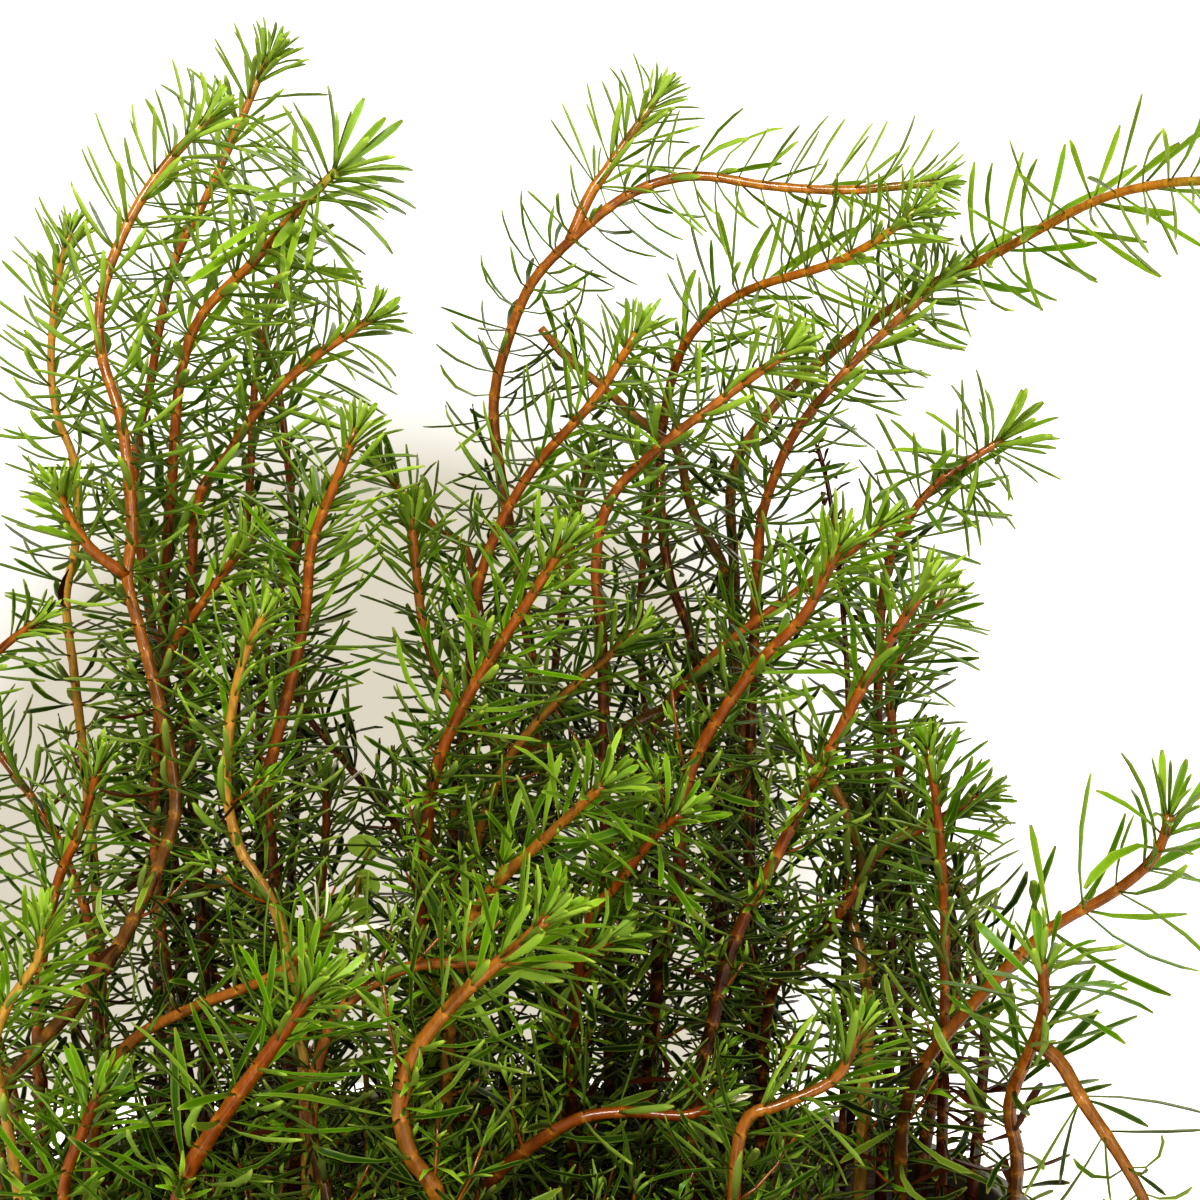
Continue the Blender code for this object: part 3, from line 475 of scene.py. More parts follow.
class RotalaPotSettings(bpy.types.PropertyGroup):
    """Sizes and colours of the pot and its soil."""

    lip_round: size("Lip rounding", "Radius of the lip's edges", 0.6)
    pot: colour("Pot", "The pot's plastic", "#2C2926")
    dust: colour("Dust", "Dust and dried splashes on the pot", "#7C7366")
    soil: colour("Soil", "Moist soil", "#1E130B")
    soil_dry: colour("Dry soil", "Crumbs that have dried", "#4A3220")
    moss: colour("Moss", "Moss on the soil and the rim", "#3F5A16")
    dead_leaf: colour("Dead leaf", "Leaves shed on the soil", "#8A3F14")
    gravel: colour("Gravel", "Pale gravel on the soil", "#CFC9BC")


class RotalaStageSettings(bpy.types.PropertyGroup):
    """Light and floor."""

    floor: colour("Floor", "The pale floor", "#F4F3F1")
    # Painted shade: the warm grey that the surround shows behind the clump, standing in for the clump's shadow on a
    # backdrop.
    painted_backdrop_shade: colour("Card", "The warm card behind the clump", "#CFC9B8")
    sky: colour("Surround", "The plain light all round", "#FFE8B6")
    sky_strength: bpy.props.FloatProperty(
        name="Surround strength", description="Strength of the light all round", default=0.42, min=0)
    key_power: bpy.props.FloatProperty(
        name="Key light", description="Power of the light in front, at the upper left",
        default=5.9, min=0, unit="POWER")
    fill_power: bpy.props.FloatProperty(
        name="Fill light", description="Power of the light in front, at the right",
        default=2.2, min=0, unit="POWER")
    back_power: bpy.props.FloatProperty(
        name="Back light", description="Power of the broad light behind and above",
        default=3.0, min=0, unit="POWER")


# Materials

LEAF_SKIN = "leaf cuticle, waxy"
STEM_SKIN = "stem skin, glossy red-brown"


def add_node(tree, kind, settings_in=(), links=(), **attributes):
    """Adds one node: its attributes, its sockets' values by name or number, and links into them."""
    node = tree.nodes.new(kind)
    for name, value in attributes.items():
        setattr(node, name, value)
    for name, value in dict(settings_in).items():
        node.inputs[name].default_value = value
    for name, source in dict(links).items():
        tree.links.new(source, node.inputs[name])
    return node


def new_material(name):
    made = bpy.data.materials.new(name)
    made.use_nodes = True
    tree = made.node_tree
    tree.nodes.clear()
    shader = add_node(tree, "ShaderNodeBsdfPrincipled")
    add_node(tree, "ShaderNodeOutputMaterial", links={"Surface": shader.outputs["BSDF"]})
    return made, tree, shader


def fill_ramp(ramp, stops):
    """Sets a colour ramp's stops from (place, linear colour) rows."""
    elements = ramp.color_ramp.elements
    while len(elements) > 1:
        elements.remove(elements[-1])
    for number, (place, rgb) in enumerate(stops):
        stop = elements[0] if number == 0 else elements.new(place)
        stop.position = place
        stop.color = (*rgb, 1)


def noise(tree, per_mm, detail=2.0, place=None):
    """Noise whose features are about a given number to the millimetre."""
    if place is None:
        place = add_node(tree, "ShaderNodeTexCoord").outputs["Object"]
    made = add_node(
        tree, "ShaderNodeTexNoise", {"Scale": per_mm / MM, "Detail": detail}, {"Vector": place})
    return made.outputs["Fac"]


def ranged(tree, value, low, high, to_low, to_high):
    """The value, mapped from one range to another and kept inside it."""
    made = add_node(
        tree, "ShaderNodeMapRange",
        {"From Min": low, "From Max": high, "To Min": to_low, "To Max": to_high}, {"Value": value})
    return made.outputs["Result"]


def mixed(tree, factor, first, second, blend="MIX"):
    """Two colours mixed by a factor: each is a socket or a linear colour."""
    made = add_node(tree, "ShaderNodeMix", data_type="RGBA", blend_type=blend)
    tree.links.new(factor, made.inputs["Factor"]) if hasattr(factor, "node") else setattr(
        made.inputs["Factor"], "default_value", factor)
    for socket, value in ((made.inputs[6], first), (made.inputs[7], second)):
        if hasattr(value, "node"):
            tree.links.new(value, socket)
        else:
            socket.default_value = (*value, 1)
    return made.outputs[2]


def look(tree):
    """The piece's own looks, stored on its points: age with painted shade added, chance, length along it, and
    underside.
    """
    stored = add_node(tree, "ShaderNodeAttribute", attribute_name="look")
    parts = add_node(tree, "ShaderNodeSeparateColor", links={"Color": stored.outputs["Color"]})
    return parts.outputs[0], parts.outputs[1], parts.outputs[2], stored.outputs["Alpha"]


def bump(tree, shader, height, strength, distance):
    made = add_node(
        tree, "ShaderNodeBump", {"Strength": strength, "Distance": distance}, {"Height": height})
    tree.links.new(made.outputs["Normal"], shader.inputs["Normal"])


def painted_backdrop_shade(tree, direction):
    """How much of the painted shade patch behind the clump lies in a direction from the eye: 0 outside, 1 inside."""
    ahead = add_node(tree, "ShaderNodeVectorMath", links={0: direction}, operation="NORMALIZE").outputs[0]
    off = add_node(tree, "ShaderNodeVectorMath", {1: SHADE_PATCH_MIDDLE}, {0: ahead}, operation="SUBTRACT").outputs[0]
    shares = add_node(tree, "ShaderNodeVectorMath", {1: SHADE_PATCH_HALF}, {0: off}, operation="DIVIDE").outputs[0]
    away = add_node(tree, "ShaderNodeVectorMath", links={0: shares}, operation="LENGTH").outputs["Value"]
    return ranged(tree, away, SHADE_PATCH_EDGE, 1.0, 1.0, 0.0)


def leaf_material():
    """Leaf cuticle: a waxy skin over thin green flesh, so satin gloss; margins and undersides are paler, partly their
    own tone and partly painted glow of light that shines through.
    """
    set_by = settings("rotala_shoots")
    made, tree, shader = new_material(LEAF_SKIN)
    age_and_shade, chance, along, under = look(tree)
    # The ramp runs on age with painted shade added: the old and oldest stops paint shaded leaves inside the clump.
    ramp = add_node(tree, "ShaderNodeValToRGB", links={"Fac": age_and_shade})
    fill_ramp(ramp, (
        (0.0, set_by.leaf_tip), (0.1, set_by.leaf_young), (0.38, set_by.leaf_green),
        (0.72, set_by.leaf_old_shaded), (1.0, set_by.leaf_oldest_shaded)))
    patchy = ranged(tree, noise(tree, 0.9), 0.35, 0.7, 0.0, 0.35)
    green = mixed(tree, patchy, ramp.outputs["Color"], set_by.leaf_young, "SOFT_LIGHT")
    deeper = mixed(tree, ranged(tree, chance, 0.06, 0.4, 0.55, 0.0), green, linear("#1E3202"))
    paler = mixed(tree, ranged(tree, chance, 0.72, 1.0, 0.0, 0.5), deeper, linear("#96B23A"))
    # Painted glow: margins and undersides paler, partly the leaf's own paler tone, partly standing in for light
    # shining through the thin blade.
    pale_margin_and_glow = mixed(tree, ranged(tree, under, 0.25, 0.5, 0.0, 0.3), paler, linear("#A6BC56"))
    tipped = mixed(tree, ranged(tree, along, 0.9, 1.0, 0.0, 0.3), pale_margin_and_glow, linear("#A7A23C"))
    dull = mixed(tree, ranged(tree, chance, 0.0, 0.04, 1.0, 0.0), tipped, set_by.leaf_dead)
    white = mixed(tree, ranged(tree, age_and_shade, WHITE_AGE, 0.5 * WHITE_AGE, 1.0, 0.0), dull, set_by.leaf_white)
    tree.links.new(white, shader.inputs["Base Color"])
    rough = ranged(tree, noise(tree, 1.5), 0.3, 0.7, 0.3, 0.45)
    tree.links.new(rough, shader.inputs["Roughness"])
    shader.inputs["IOR"].default_value = 1.4
    shader.inputs["Specular IOR Level"].default_value = 0.18
    return made


def stem_material():
    """Stem skin: smooth and wet-looking, red-brown, paler where leaves join it, dark with age and with painted shade
    inside the clump.
    """
    set_by = settings("rotala_shoots")
    made, tree, shader = new_material(STEM_SKIN)
    age_and_shade, ochre, joint, chance = look(tree)
    # The ramp runs on age with painted shade added, towards the dark old stop inside the clump.
    ramp = add_node(tree, "ShaderNodeValToRGB", links={"Fac": age_and_shade})
    fill_ramp(ramp, (
        (0.0, set_by.stem_tip), (0.07, set_by.stem_young), (0.3, set_by.stem_red),
        (0.62, set_by.stem_red), (1.0, set_by.stem_old_shaded)))
    yellow = mixed(tree, ranged(tree, ochre, 0.0, 1.0, 0.0, 0.85), ramp.outputs["Color"], set_by.stem_ochre)
    streaks = add_node(
        tree, "ShaderNodeMapping", {"Scale": (1.0, 1.0, 0.3)},
        {"Vector": add_node(tree, "ShaderNodeTexCoord").outputs["Object"]})
    streaky = ranged(tree, noise(tree, 1.4, 4.0, streaks.outputs["Vector"]), 0.35, 0.7, 0.0, 0.5)
    blotched = mixed(tree, streaky, yellow, linear("#7A3A10"), "MULTIPLY")
    freckle = add_node(
        tree, "ShaderNodeMath", {}, {0: joint, 1: ranged(tree, noise(tree, 1.8), 0.44, 0.56, 0.3, 1.0)},
        operation="MULTIPLY")
    ringed = add_node(
        tree, "ShaderNodeMath", links={0: freckle.outputs[0], 1: ranged(tree, age_and_shade, 0.08, 0.5, 0.6, 0.35)},
        operation="MULTIPLY")
    pale = mixed(tree, ringed.outputs[0], blotched, linear("#C4862E"))
    tree.links.new(pale, shader.inputs["Base Color"])
    rough = ranged(tree, noise(tree, 1.2), 0.3, 0.7, 0.12, 0.28)
    tree.links.new(rough, shader.inputs["Roughness"])
    shader.inputs["IOR"].default_value = 1.45
    bump(tree, shader, noise(tree, 2.2, 3.0), 0.35, 0.08 * MM)
    return made


def pot_material():
    """Polypropylene, moulded: even satin charcoal, faintly pebbled, with dust and dried splashes."""
    set_by = settings("rotala_pot")
    made, tree, shader = new_material("polypropylene, moulded charcoal")
    place = add_node(tree, "ShaderNodeTexCoord").outputs["Object"]
    height = add_node(tree, "ShaderNodeSeparateXYZ", links={0: place}).outputs[2]
    splashed = ranged(tree, height, 0.0, 22 * MM, 0.45, 0.05)
    # Paler band over the top 3 mm of the lip.
    paler_lip_top = ranged(tree, height, POT_HEIGHT - 3 * MM, POT_HEIGHT, 0.0, 0.3)
    film = ranged(tree, noise(tree, 0.05, 8.0), 0.3, 0.8, 0.0, 0.2)
    gathered = add_node(tree, "ShaderNodeMath", links={0: splashed, 1: paler_lip_top}, operation="ADD").outputs[0]
    patchy = add_node(
        tree, "ShaderNodeMath", links={0: gathered, 1: ranged(tree, noise(tree, 0.5, 6.0), 0.35, 0.7, 0.0, 1.0)},
        operation="MULTIPLY").outputs[0]
    dust = add_node(tree, "ShaderNodeMath", links={0: patchy, 1: film}, operation="ADD").outputs[0]
    specks = ranged(tree, noise(tree, 1.3, 2.0), 0.66, 0.74, 0.0, 0.6)
    base = mixed(tree, dust, set_by.pot, set_by.dust)
    spotted = mixed(tree, specks, base, set_by.soil)
    tree.links.new(spotted, shader.inputs["Base Color"])
    rough = ranged(tree, dust, 0.0, 0.6, 0.38, 0.75)
    tree.links.new(rough, shader.inputs["Roughness"])
    bump(tree, shader, noise(tree, 2.5, 2.0), 0.2, 0.06 * MM)
    return made


def soil_material():
    """Peat soil, moist: nearly black crumbs, some dried brown, with flecks of root and bark."""
    set_by = settings("rotala_pot")
    made, tree, shader = new_material("peat soil, moist crumbs")
    dry = ranged(tree, noise(tree, 0.25, 5.0), 0.45, 0.7, 0.0, 0.7)
    base = mixed(tree, dry, set_by.soil, set_by.soil_dry)
    flecks = ranged(tree, noise(tree, 1.1, 2.0), 0.66, 0.7, 0.0, 0.8)
    flecked = mixed(tree, flecks, base, set_by.dead_leaf)
    tree.links.new(flecked, shader.inputs["Base Color"])
    shader.inputs["Roughness"].default_value = 0.85
    bump(tree, shader, noise(tree, 0.9, 8.0), 1.0, 0.8 * MM)
    return made


def litter_material():
    """Litter: crumbs of peat, bark and gravel, each its own colour."""
    set_by = settings("rotala_pot")
    made, tree, shader = new_material("peat crumbs, bark and gravel")
    kind, chance, _, _ = look(tree)
    bark = mixed(tree, chance, set_by.soil, set_by.soil_dry)
    stone = mixed(tree, chance, set_by.dust, set_by.gravel)
    base = mixed(tree, ranged(tree, kind, 0.4, 0.6, 0.0, 1.0), bark, stone)
    tree.links.new(base, shader.inputs["Base Color"])
    shader.inputs["Roughness"].default_value = 0.8
    bump(tree, shader, noise(tree, 3.0, 4.0), 0.8, 0.2 * MM)
    return made


# Stem lines


def outer_radius(height):
    """Radius of the pot's outer wall, without its lip, at a height."""
    foot = FOOT_DIAMETER / 2
    top = RIM_DIAMETER / 2 - LIP_PROUD
    return foot + (top - foot) * height / POT_HEIGHT


def inner_radius(height):
    """Radius of the pot's inner wall at a height."""
    foot = outer_radius(POT_FLOOR) - POT_WALL
    top = RIM_DIAMETER / 2 - LIP_PROUD - POT_WALL
    return foot + (top - foot) * (height - POT_FLOOR) / (POT_HEIGHT - POT_FLOOR)


def soil_height(x, y):
    """Height of the soil's smooth surface at a place."""
    away = math.hypot(x, y) / (inner_radius(SOIL_EDGE) - GAP)
    return SOIL_EDGE + SOIL_RISE * (1 - away * away)


def seen_at(across, down, depth):
    """The point that the front view shows at a pixel, on the plane that lies at a depth."""
    scale = (depth - EYE[1]) / FOCAL_PIXELS
    x = EYE[0] + (across - FRAME_CENTRE) * scale
    return np.array((x, depth, EYE[2] - (down - FRAME_CENTRE) * scale))


def soil_point(across, depth):
    """Where the soil's smooth surface lies at a pixel across and a depth."""
    x = seen_at(across, 0, depth)[0]
    return np.array((x, depth, soil_height(x, depth) + GAP))


def with_depths(start_pixel, start_depth, tip_depth, pixels):
    """Depths along a route: even from foot to tip by length in pixels, or through depths that it gives."""
    route = [start_pixel, *pixels]
    steps = [math.dist(a[:2], b[:2]) for a, b in zip(route, route[1:])]
    along = np.concatenate(([0], np.cumsum(steps)))
    anchors = [(0, start_depth)]
    anchors += [(along[i], p[2] * MM) for i, p in enumerate(route) if i and len(p) == 3]
    anchors.append((along[-1], tip_depth))
    depths = np.interp(along, *zip(*anchors))
    return [seen_at(p[0], p[1], depth) for p, depth in zip(route, depths)]


def smooth_path(points):
    """A rounded line through the points, as evenly spaced samples."""
    knots = np.array(points)
    padded = np.vstack((2 * knots[0] - knots[1], knots, 2 * knots[-1] - knots[-2]))
    fine = []
    for a, b, c, d in zip(padded, padded[1:], padded[2:], padded[3:]):
        for t in np.linspace(0, 1, SPAN_STEPS, endpoint=False):
            curve = 2 * b + (c - a) * t
            curve += (2 * a - 5 * b + 4 * c - d) * t**2 + (3 * b - a - 3 * c + d) * t**3
            fine.append(curve / 2)
    fine.append(knots[-1])
    return resample(np.array(fine), PATH_SAMPLES)


def resample(line, samples):
    along = np.concatenate(([0], np.cumsum(np.linalg.norm(np.diff(line, axis=0), axis=1))))
    even = np.linspace(0, along[-1], samples)
    return np.column_stack([np.interp(even, along, line[:, axis]) for axis in range(3)])


def nearest_index(path, across, down):
    """The sample of a path that the front view shows nearest to a pixel."""
    scale = FOCAL_PIXELS / (path[:, 1] - EYE[1])
    seen_across = FRAME_CENTRE + (path[:, 0] - EYE[0]) * scale
    seen_down = FRAME_CENTRE - (path[:, 2] - EYE[2]) * scale
    return int(np.argmin(np.hypot(seen_across - across, seen_down - down)))


def lay_routes():
    """The centre line of every shoot before neighbours are eased apart, and each branch's fork."""
    paths, forks = {}, {}
    for name, _, _, start, tip_depth, *pixels in SHOOTS:
        if isinstance(start[0], str):
            parent, across, down = start
            place = nearest_index(paths[parent], across, down)
            forks[name] = (parent, place)
            foot = paths[parent][place]
            route = with_depths((across, down), foot[1], tip_depth * MM, pixels)
            route[0] = foot
        else:
            foot = soil_point(start[0], start[1] * MM)
            down = FRAME_CENTRE - (foot[2] - EYE[2]) * FOCAL_PIXELS / (foot[1] - EYE[1])
            route = with_depths((start[0], down), foot[1], tip_depth * MM, pixels)
            route[0] = foot
        paths[name] = smooth_path(route)
    forks["arch_leg"] = ("big_arch", None)
    return paths, forks


def touching(paths, radii, forks):
    """Pairs of samples on different stems that lie closer than the stems may."""
    names = list(paths)
    tree = KDTree(len(names) * PATH_SAMPLES)
    for i, name in enumerate(names):
        for k, point in enumerate(paths[name]):
            tree.insert(point, i * PATH_SAMPLES + k)
    tree.balance()
    reach = 2 * max(radii.values()) + STEM_CLEARANCE
    for i, name in enumerate(names):
        for k, point in enumerate(paths[name]):
            for other, index, away in tree.find_range(point, reach):
                j, m = divmod(index, PATH_SAMPLES)
                need = radii[name] + radii[names[j]] + STEM_CLEARANCE
                if j > i and away < need and not at_fork(name, names[j], point, other, paths, forks):
                    yield name, k, names[j], m, need - away


def at_fork(first, second, point, other, paths, forks):
    """Whether two samples are a branch and its parent, close to the fork."""
    for branch, parent, spot in ((first, second, point), (second, first, other)):
        if branch in forks and forks[branch][0] == parent:
            end = paths[branch][-1] if forks[branch][1] is None else paths[branch][0]
            return math.dist(end, spot) < FORK_REACH
    return False


def ease_apart(paths, radii, forks):
    """Move stems that would touch apart in depth, each keeping its place across the front view."""
    in_front = {}
    window = np.hanning(2 * EASE_SPREAD + 1)
    for _ in range(EASE_ROUNDS):
        push = {name: np.zeros(PATH_SAMPLES) for name in paths}
        for first, k, second, m, short in touching(paths, radii, forks):
            behind = paths[first][k][1] >= paths[second][m][1]
            side = in_front.setdefault((first, second), 1 if behind else -1)
            push[first][k] += side * short / 2
            push[second][m] -= side * short / 2
        if not any(move.any() for move in push.values()):
            break
        for name, move in push.items():
            spread = np.convolve(move, window, mode="same")
            top = np.abs(spread).max()
            if top > 0:
                spread *= np.abs(move).max() / top
            across, depth = paths[name][:, 0], paths[name][:, 1]
            paths[name][:, 0] = EYE[0] + (across - EYE[0]) * (depth + spread - EYE[1]) / (depth - EYE[1])
            paths[name][:, 1] = depth + spread
    for branch, (parent, place) in forks.items():
        if place is not None:
            fade = np.clip(1 - np.linspace(0, 2, PATH_SAMPLES), 0, 1)[:, None] ** 2
            paths[branch] += (paths[parent][place] - paths[branch][0]) * fade


class Line:
    """A shoot's centre line, read at a distance from its foot."""

    def __init__(self, path, radius):
        self.path = path
        self.radius = radius
        self.along = np.concatenate(([0], np.cumsum(np.linalg.norm(np.diff(path, axis=0), axis=1))))
        self.length = self.along[-1]
        self.tangents = np.gradient(path, axis=0)
        self.tangents /= np.linalg.norm(self.tangents, axis=1)[:, None]
        side = np.cross(self.tangents[0], FIRST_SIDE)
        sides = []
        for tangent in self.tangents:
            side = side - tangent * (side @ tangent)
            side /= np.linalg.norm(side)
            sides.append(side)
        self.sides = np.array(sides)

    def at(self, distances):
        """Centres, tangents and side directions at several distances."""
        read = [
            np.column_stack([np.interp(distances, self.along, rows[:, axis]) for axis in range(3)])
            for rows in (self.path, self.tangents, self.sides)
        ]
        for rows in read[1:]:
            rows /= np.linalg.norm(rows, axis=1)[:, None]
        return read

    def radii(self, distances):
        """The stem thins evenly towards its tip."""
        return self.radius * STEM_FULL * (1 - (1 - TAPER) * np.asarray(distances) / self.length)


# Meshes


def make_mesh(name, points, faces, looks, sharp=None):
    """A smooth mesh from arrays, its looks stored on its points; sharp picks edges by their two points."""
    mesh = bpy.data.meshes.new(name)
    sizes = np.array([len(face) for face in faces], dtype=np.int32)
    mesh.vertices.add(len(points))
    mesh.vertices.foreach_set("co", np.asarray(points, dtype=np.float32).ravel())
    mesh.loops.add(int(sizes.sum()))
    mesh.loops.foreach_set("vertex_index", np.concatenate(faces).astype(np.int32))
    mesh.polygons.add(len(faces))
    starts = np.concatenate(([0], np.cumsum(sizes)[:-1])).astype(np.int32)
    mesh.polygons.foreach_set("loop_start", starts)
    mesh.update(calc_edges=True)
    mesh.polygons.foreach_set("use_smooth", np.ones(len(faces), dtype=bool))
    stored = mesh.attributes.new("look", "FLOAT_COLOR", "POINT")
    stored.data.foreach_set("color", np.asarray(looks, dtype=np.float32).ravel())
    if sharp is not None:
        ends = np.empty(len(mesh.edges) * 2, dtype=np.int32)
        mesh.edges.foreach_get("vertices", ends)
        first, second = ends.reshape(-1, 2).T
        marks = mesh.attributes.new("sharp_edge", "BOOLEAN", "EDGE")
        marks.data.foreach_set("value", sharp(first, second))
    mesh.validate()
    return mesh


def add_piece(name, mesh, material, slot, *nodes):
    """Puts a mesh into the scene as a piece that rides on the body and may stand for solids."""
    piece = bpy.data.objects.new(name, mesh)
    mesh.materials.append(material)
    bpy.context.scene.collection.objects.link(piece)
    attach(piece, BODY)
    if nodes:
        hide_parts(*nodes)
    return piece


def unit(rows):
    return rows / np.linalg.norm(rows, axis=-1, keepdims=True)


class Leaves:
    """Rows of leaf blades, turned into one mesh at the end."""

    def __init__(self, thickness, stations=LEAF_STATIONS, widths=LEAF_WIDTHS):
        self.thickness = thickness
        self.stations = np.array(stations)
        self.widths = np.array(widths)
        self.rows = []

    def add(self, root, out, up, length, width, lean, bend, sway, roll, twist, notch, age_and_shade, chance):
        self.rows.append((*root, *out, *up, length, width, lean, bend, sway, roll, twist, notch, age_and_shade, chance))

    def mesh(self, name):
        rows = np.array(self.rows)
        root, out, up = rows[:, 0:3], rows[:, 3:6], rows[:, 6:9]
        length, width, lean, bend, sway, roll, twist, notch, age_and_shade, chance = rows[:, 9:].T
        stations = self.stations
        side = np.cross(up, out)
        rise = lean[:, None] + bend[:, None] * stations
        swing = sway[:, None] * stations
        ahead = np.cos(rise)[..., None] * out[:, None] + np.sin(rise)[..., None] * up[:, None]
        ahead = np.cos(swing)[..., None] * ahead + np.sin(swing)[..., None] * side[:, None]
        face = unit(up[:, None] - ahead * (ahead @ up[:, :, None]))
        across = np.cross(face, ahead)
        turn = (roll[:, None] + twist[:, None] * stations)[..., None]
        across, face = (
            np.cos(turn) * across + np.sin(turn) * face,
            np.cos(turn) * face - np.sin(turn) * across,
        )
        steps = np.diff(stations)[None, :, None] * (ahead[:, 1:] + ahead[:, :-1]) / 2
        spine = np.concatenate((np.zeros((len(rows), 1, 3)), np.cumsum(steps, axis=1)), axis=1)
        spine = root[:, None] + spine * length[:, None, None]
        half = width[:, None] * self.widths / 2
        thick = self.thickness * (0.5 + 0.5 * self.widths)[None, :]
        lift = 0.3 * half
        middle = spine.copy()
        middle[:, -1] -= ahead[:, -1] * notch[:, None]
        corners = np.stack((
            spine - across * half[..., None] + face * lift[..., None],
            middle + face * (0.25 * thick)[..., None],
            spine + across * half[..., None] + face * lift[..., None],
            middle - face * (0.75 * thick)[..., None],
        ), axis=2)
        rings = len(stations)
        each = rings * LEAF_CORNERS
        quads = []
        for ring in range(rings - 1):
            for corner in range(LEAF_CORNERS):
                a = ring * LEAF_CORNERS + corner
                b = ring * LEAF_CORNERS + (corner + 1) % LEAF_CORNERS
                quads.append((a, a + LEAF_CORNERS, b + LEAF_CORNERS, b))
        last = (rings - 1) * LEAF_CORNERS
        quads.append((0, 1, 2, 3))
        quads.append((last + 3, last + 2, last + 1, last))
        faces = np.array(quads)[None] + (np.arange(len(rows)) * each)[:, None, None]
        looks = np.zeros((len(rows), rings, LEAF_CORNERS, 4))
        looks[..., 0] = age_and_shade[:, None, None]
        looks[..., 1] = chance[:, None, None]
        looks[..., 2] = stations[None, :, None]
        # The underside channel: margins 0.5, upper middle 0, lower middle 1; the leaf material makes margins and
        # underside paler, partly painted glow of light shining through.
        looks[..., 3] = np.array((0.5, 0.0, 0.5, 1.0))

        def margins(first, second):
            return (first % LEAF_CORNERS == second % LEAF_CORNERS) & (first % 2 == 0) & (
                np.abs(first - second) == LEAF_CORNERS)

        return make_mesh(name, corners.reshape(-1, 3), list(faces.reshape(-1, 4)), looks.reshape(-1, 4), margins)


def whorl_places(length, internode, tip_age, growth):
    """Distances from the foot to a shoot's whorls: crowded at a tip that grows, evenly spaced lower down."""
    places = []
    short = internode if tip_age else 0.1 * MM
    step = internode if tip_age else TIP_STEP
    while length - short > BARE_FOOT:
        places.append(length - short)
        short += step
        step = min(step * growth, internode)
    return places


def leaf_form(short):
    """Length share, lean and bend of a leaf at a distance short of the tip."""
    table = np.array(LEAF_FORMS)
    return [float(np.interp(short / MM, table[:, 0], table[:, column])) for column in (1, 2, 3)]


def leftward(place):
    """How far a place lies towards the clump's open left side, from 0 to 1."""
    return min(max((place[0] + 20 * MM) / (-40 * MM), 0.0), 1.0)


def shade(place):
    """Painted shade for the dark inside of the clump, added to how old growth looks at a place: behind, low, and near
    the soil, less towards its open left side.
    """
    behind = min(max((place[1] + 40 * MM) / (60 * MM), 0.0), 1.0)
    low = min(max((225 * MM - place[2]) / (95 * MM), 0.0), 1.0)
    floor = min(max((135 * MM - place[2]) / (35 * MM), 0.0), 1.0)
    return ((0.3 + 0.5 * behind) * low + 0.28 * floor) * (1 - 0.4 * leftward(place))


def dress_shoot(line, habit, leaf_length, places, tip_age, dry, leaves, rng):
    """Adds the leaves of one shoot, whorl by whorl."""
    centres, tangents, sides = line.at(np.array(places))
    turn = rng.uniform(0, math.tau)
    for place, centre, tangent, side in zip(places, centres, tangents, sides):
        short = line.length - place + tip_age
        grown, lean, bend = leaf_form(short)
        tuft = math.exp(-(((short - OPEN_AT) / OPEN_AT) ** 2))
        lean -= habit["open"] * tuft
        grown += habit["open"] / WIDE_OPEN * math.exp(-short / (2 * OPEN_AT))
        number = habit["leaves"] - (short > 130 * MM)
        turn += math.pi / number + rng.uniform(-0.2, 0.2)
        tangent = unit(tangent * (1 - habit["upright"]) + np.array((0.0, 0.0, habit["upright"])))
        side = unit(side - tangent * (side @ tangent))
        other = np.cross(tangent, side)
        # Painted shade: shade(centre) makes leaves behind, low and near the soil look older and darker.
        age_and_shade = min((short + habit["older"] * MM) / LEAF_AGE_SPAN + shade(centre), 1.0)
        wild = 0.5 + age_and_shade
        deep = min(max((short - SHED_FROM) / SHED_SPAN, 0.0), 1.0)
        left = leftward(centre)
        right = min(max((centre[0] - 48 * MM) / (14 * MM), 0.0), 1.0) * (centre[2] < 118 * MM)
        shed = 1.0 if dry else max(deep * max(1 - place / (SHED_SPAN * (1 + left)), 0.0), 0.9 * right)
        width_share = 0.5 + 0.5 * min(grown, 1.0) - 0.08 * deep
        radius = float(line.radii(place))
        for step in range(number):
            if rng.random() < 0.06 * wild + (0.2 + 0.4 * left) * shed:
                continue
            dried = dry or rng.random() < 0.45 * shed
            white = short < TUFT_DEPTH and rng.random() < habit["white"]
            angle = turn + math.tau * step / number + rng.gauss(0, 0.12)
            out = math.cos(angle) * side + math.sin(angle) * other
            size_share = grown * rng.uniform(0.8, 1.14) * (1 - 0.35 * shed)
            curl = rng.choice((-1, 1, 1)) * rng.uniform(0, 60) * deep - shed * rng.uniform(0, 110)
            leaves.add(
                centre + out * radius * 0.6 + tangent * rng.uniform(-0.2, 0.2) * MM,
                out, tangent,
                leaf_length * habit["long"] * size_share,
                habit["width"] * MM * rng.uniform(0.8, 1.15) * width_share,
                math.radians(lean + rng.gauss(0, 7 * wild + 0.4 * habit["open"] * tuft)),
                math.radians(bend + rng.gauss(0, 22 * wild) + curl),
                math.radians(rng.gauss(0, 14 * wild)),
                math.radians(rng.gauss(0, 12 * wild)),
                math.radians(rng.gauss(0, 20 * wild)),
                rng.choice((0.0, 0.1, 0.25)) * MM,
                WHITE_AGE if white else min(max(age_and_shade + rng.gauss(0, 0.05), 0.0), 1.0),
                0.0 if dried else rng.uniform(0.04, 1.0),
            )


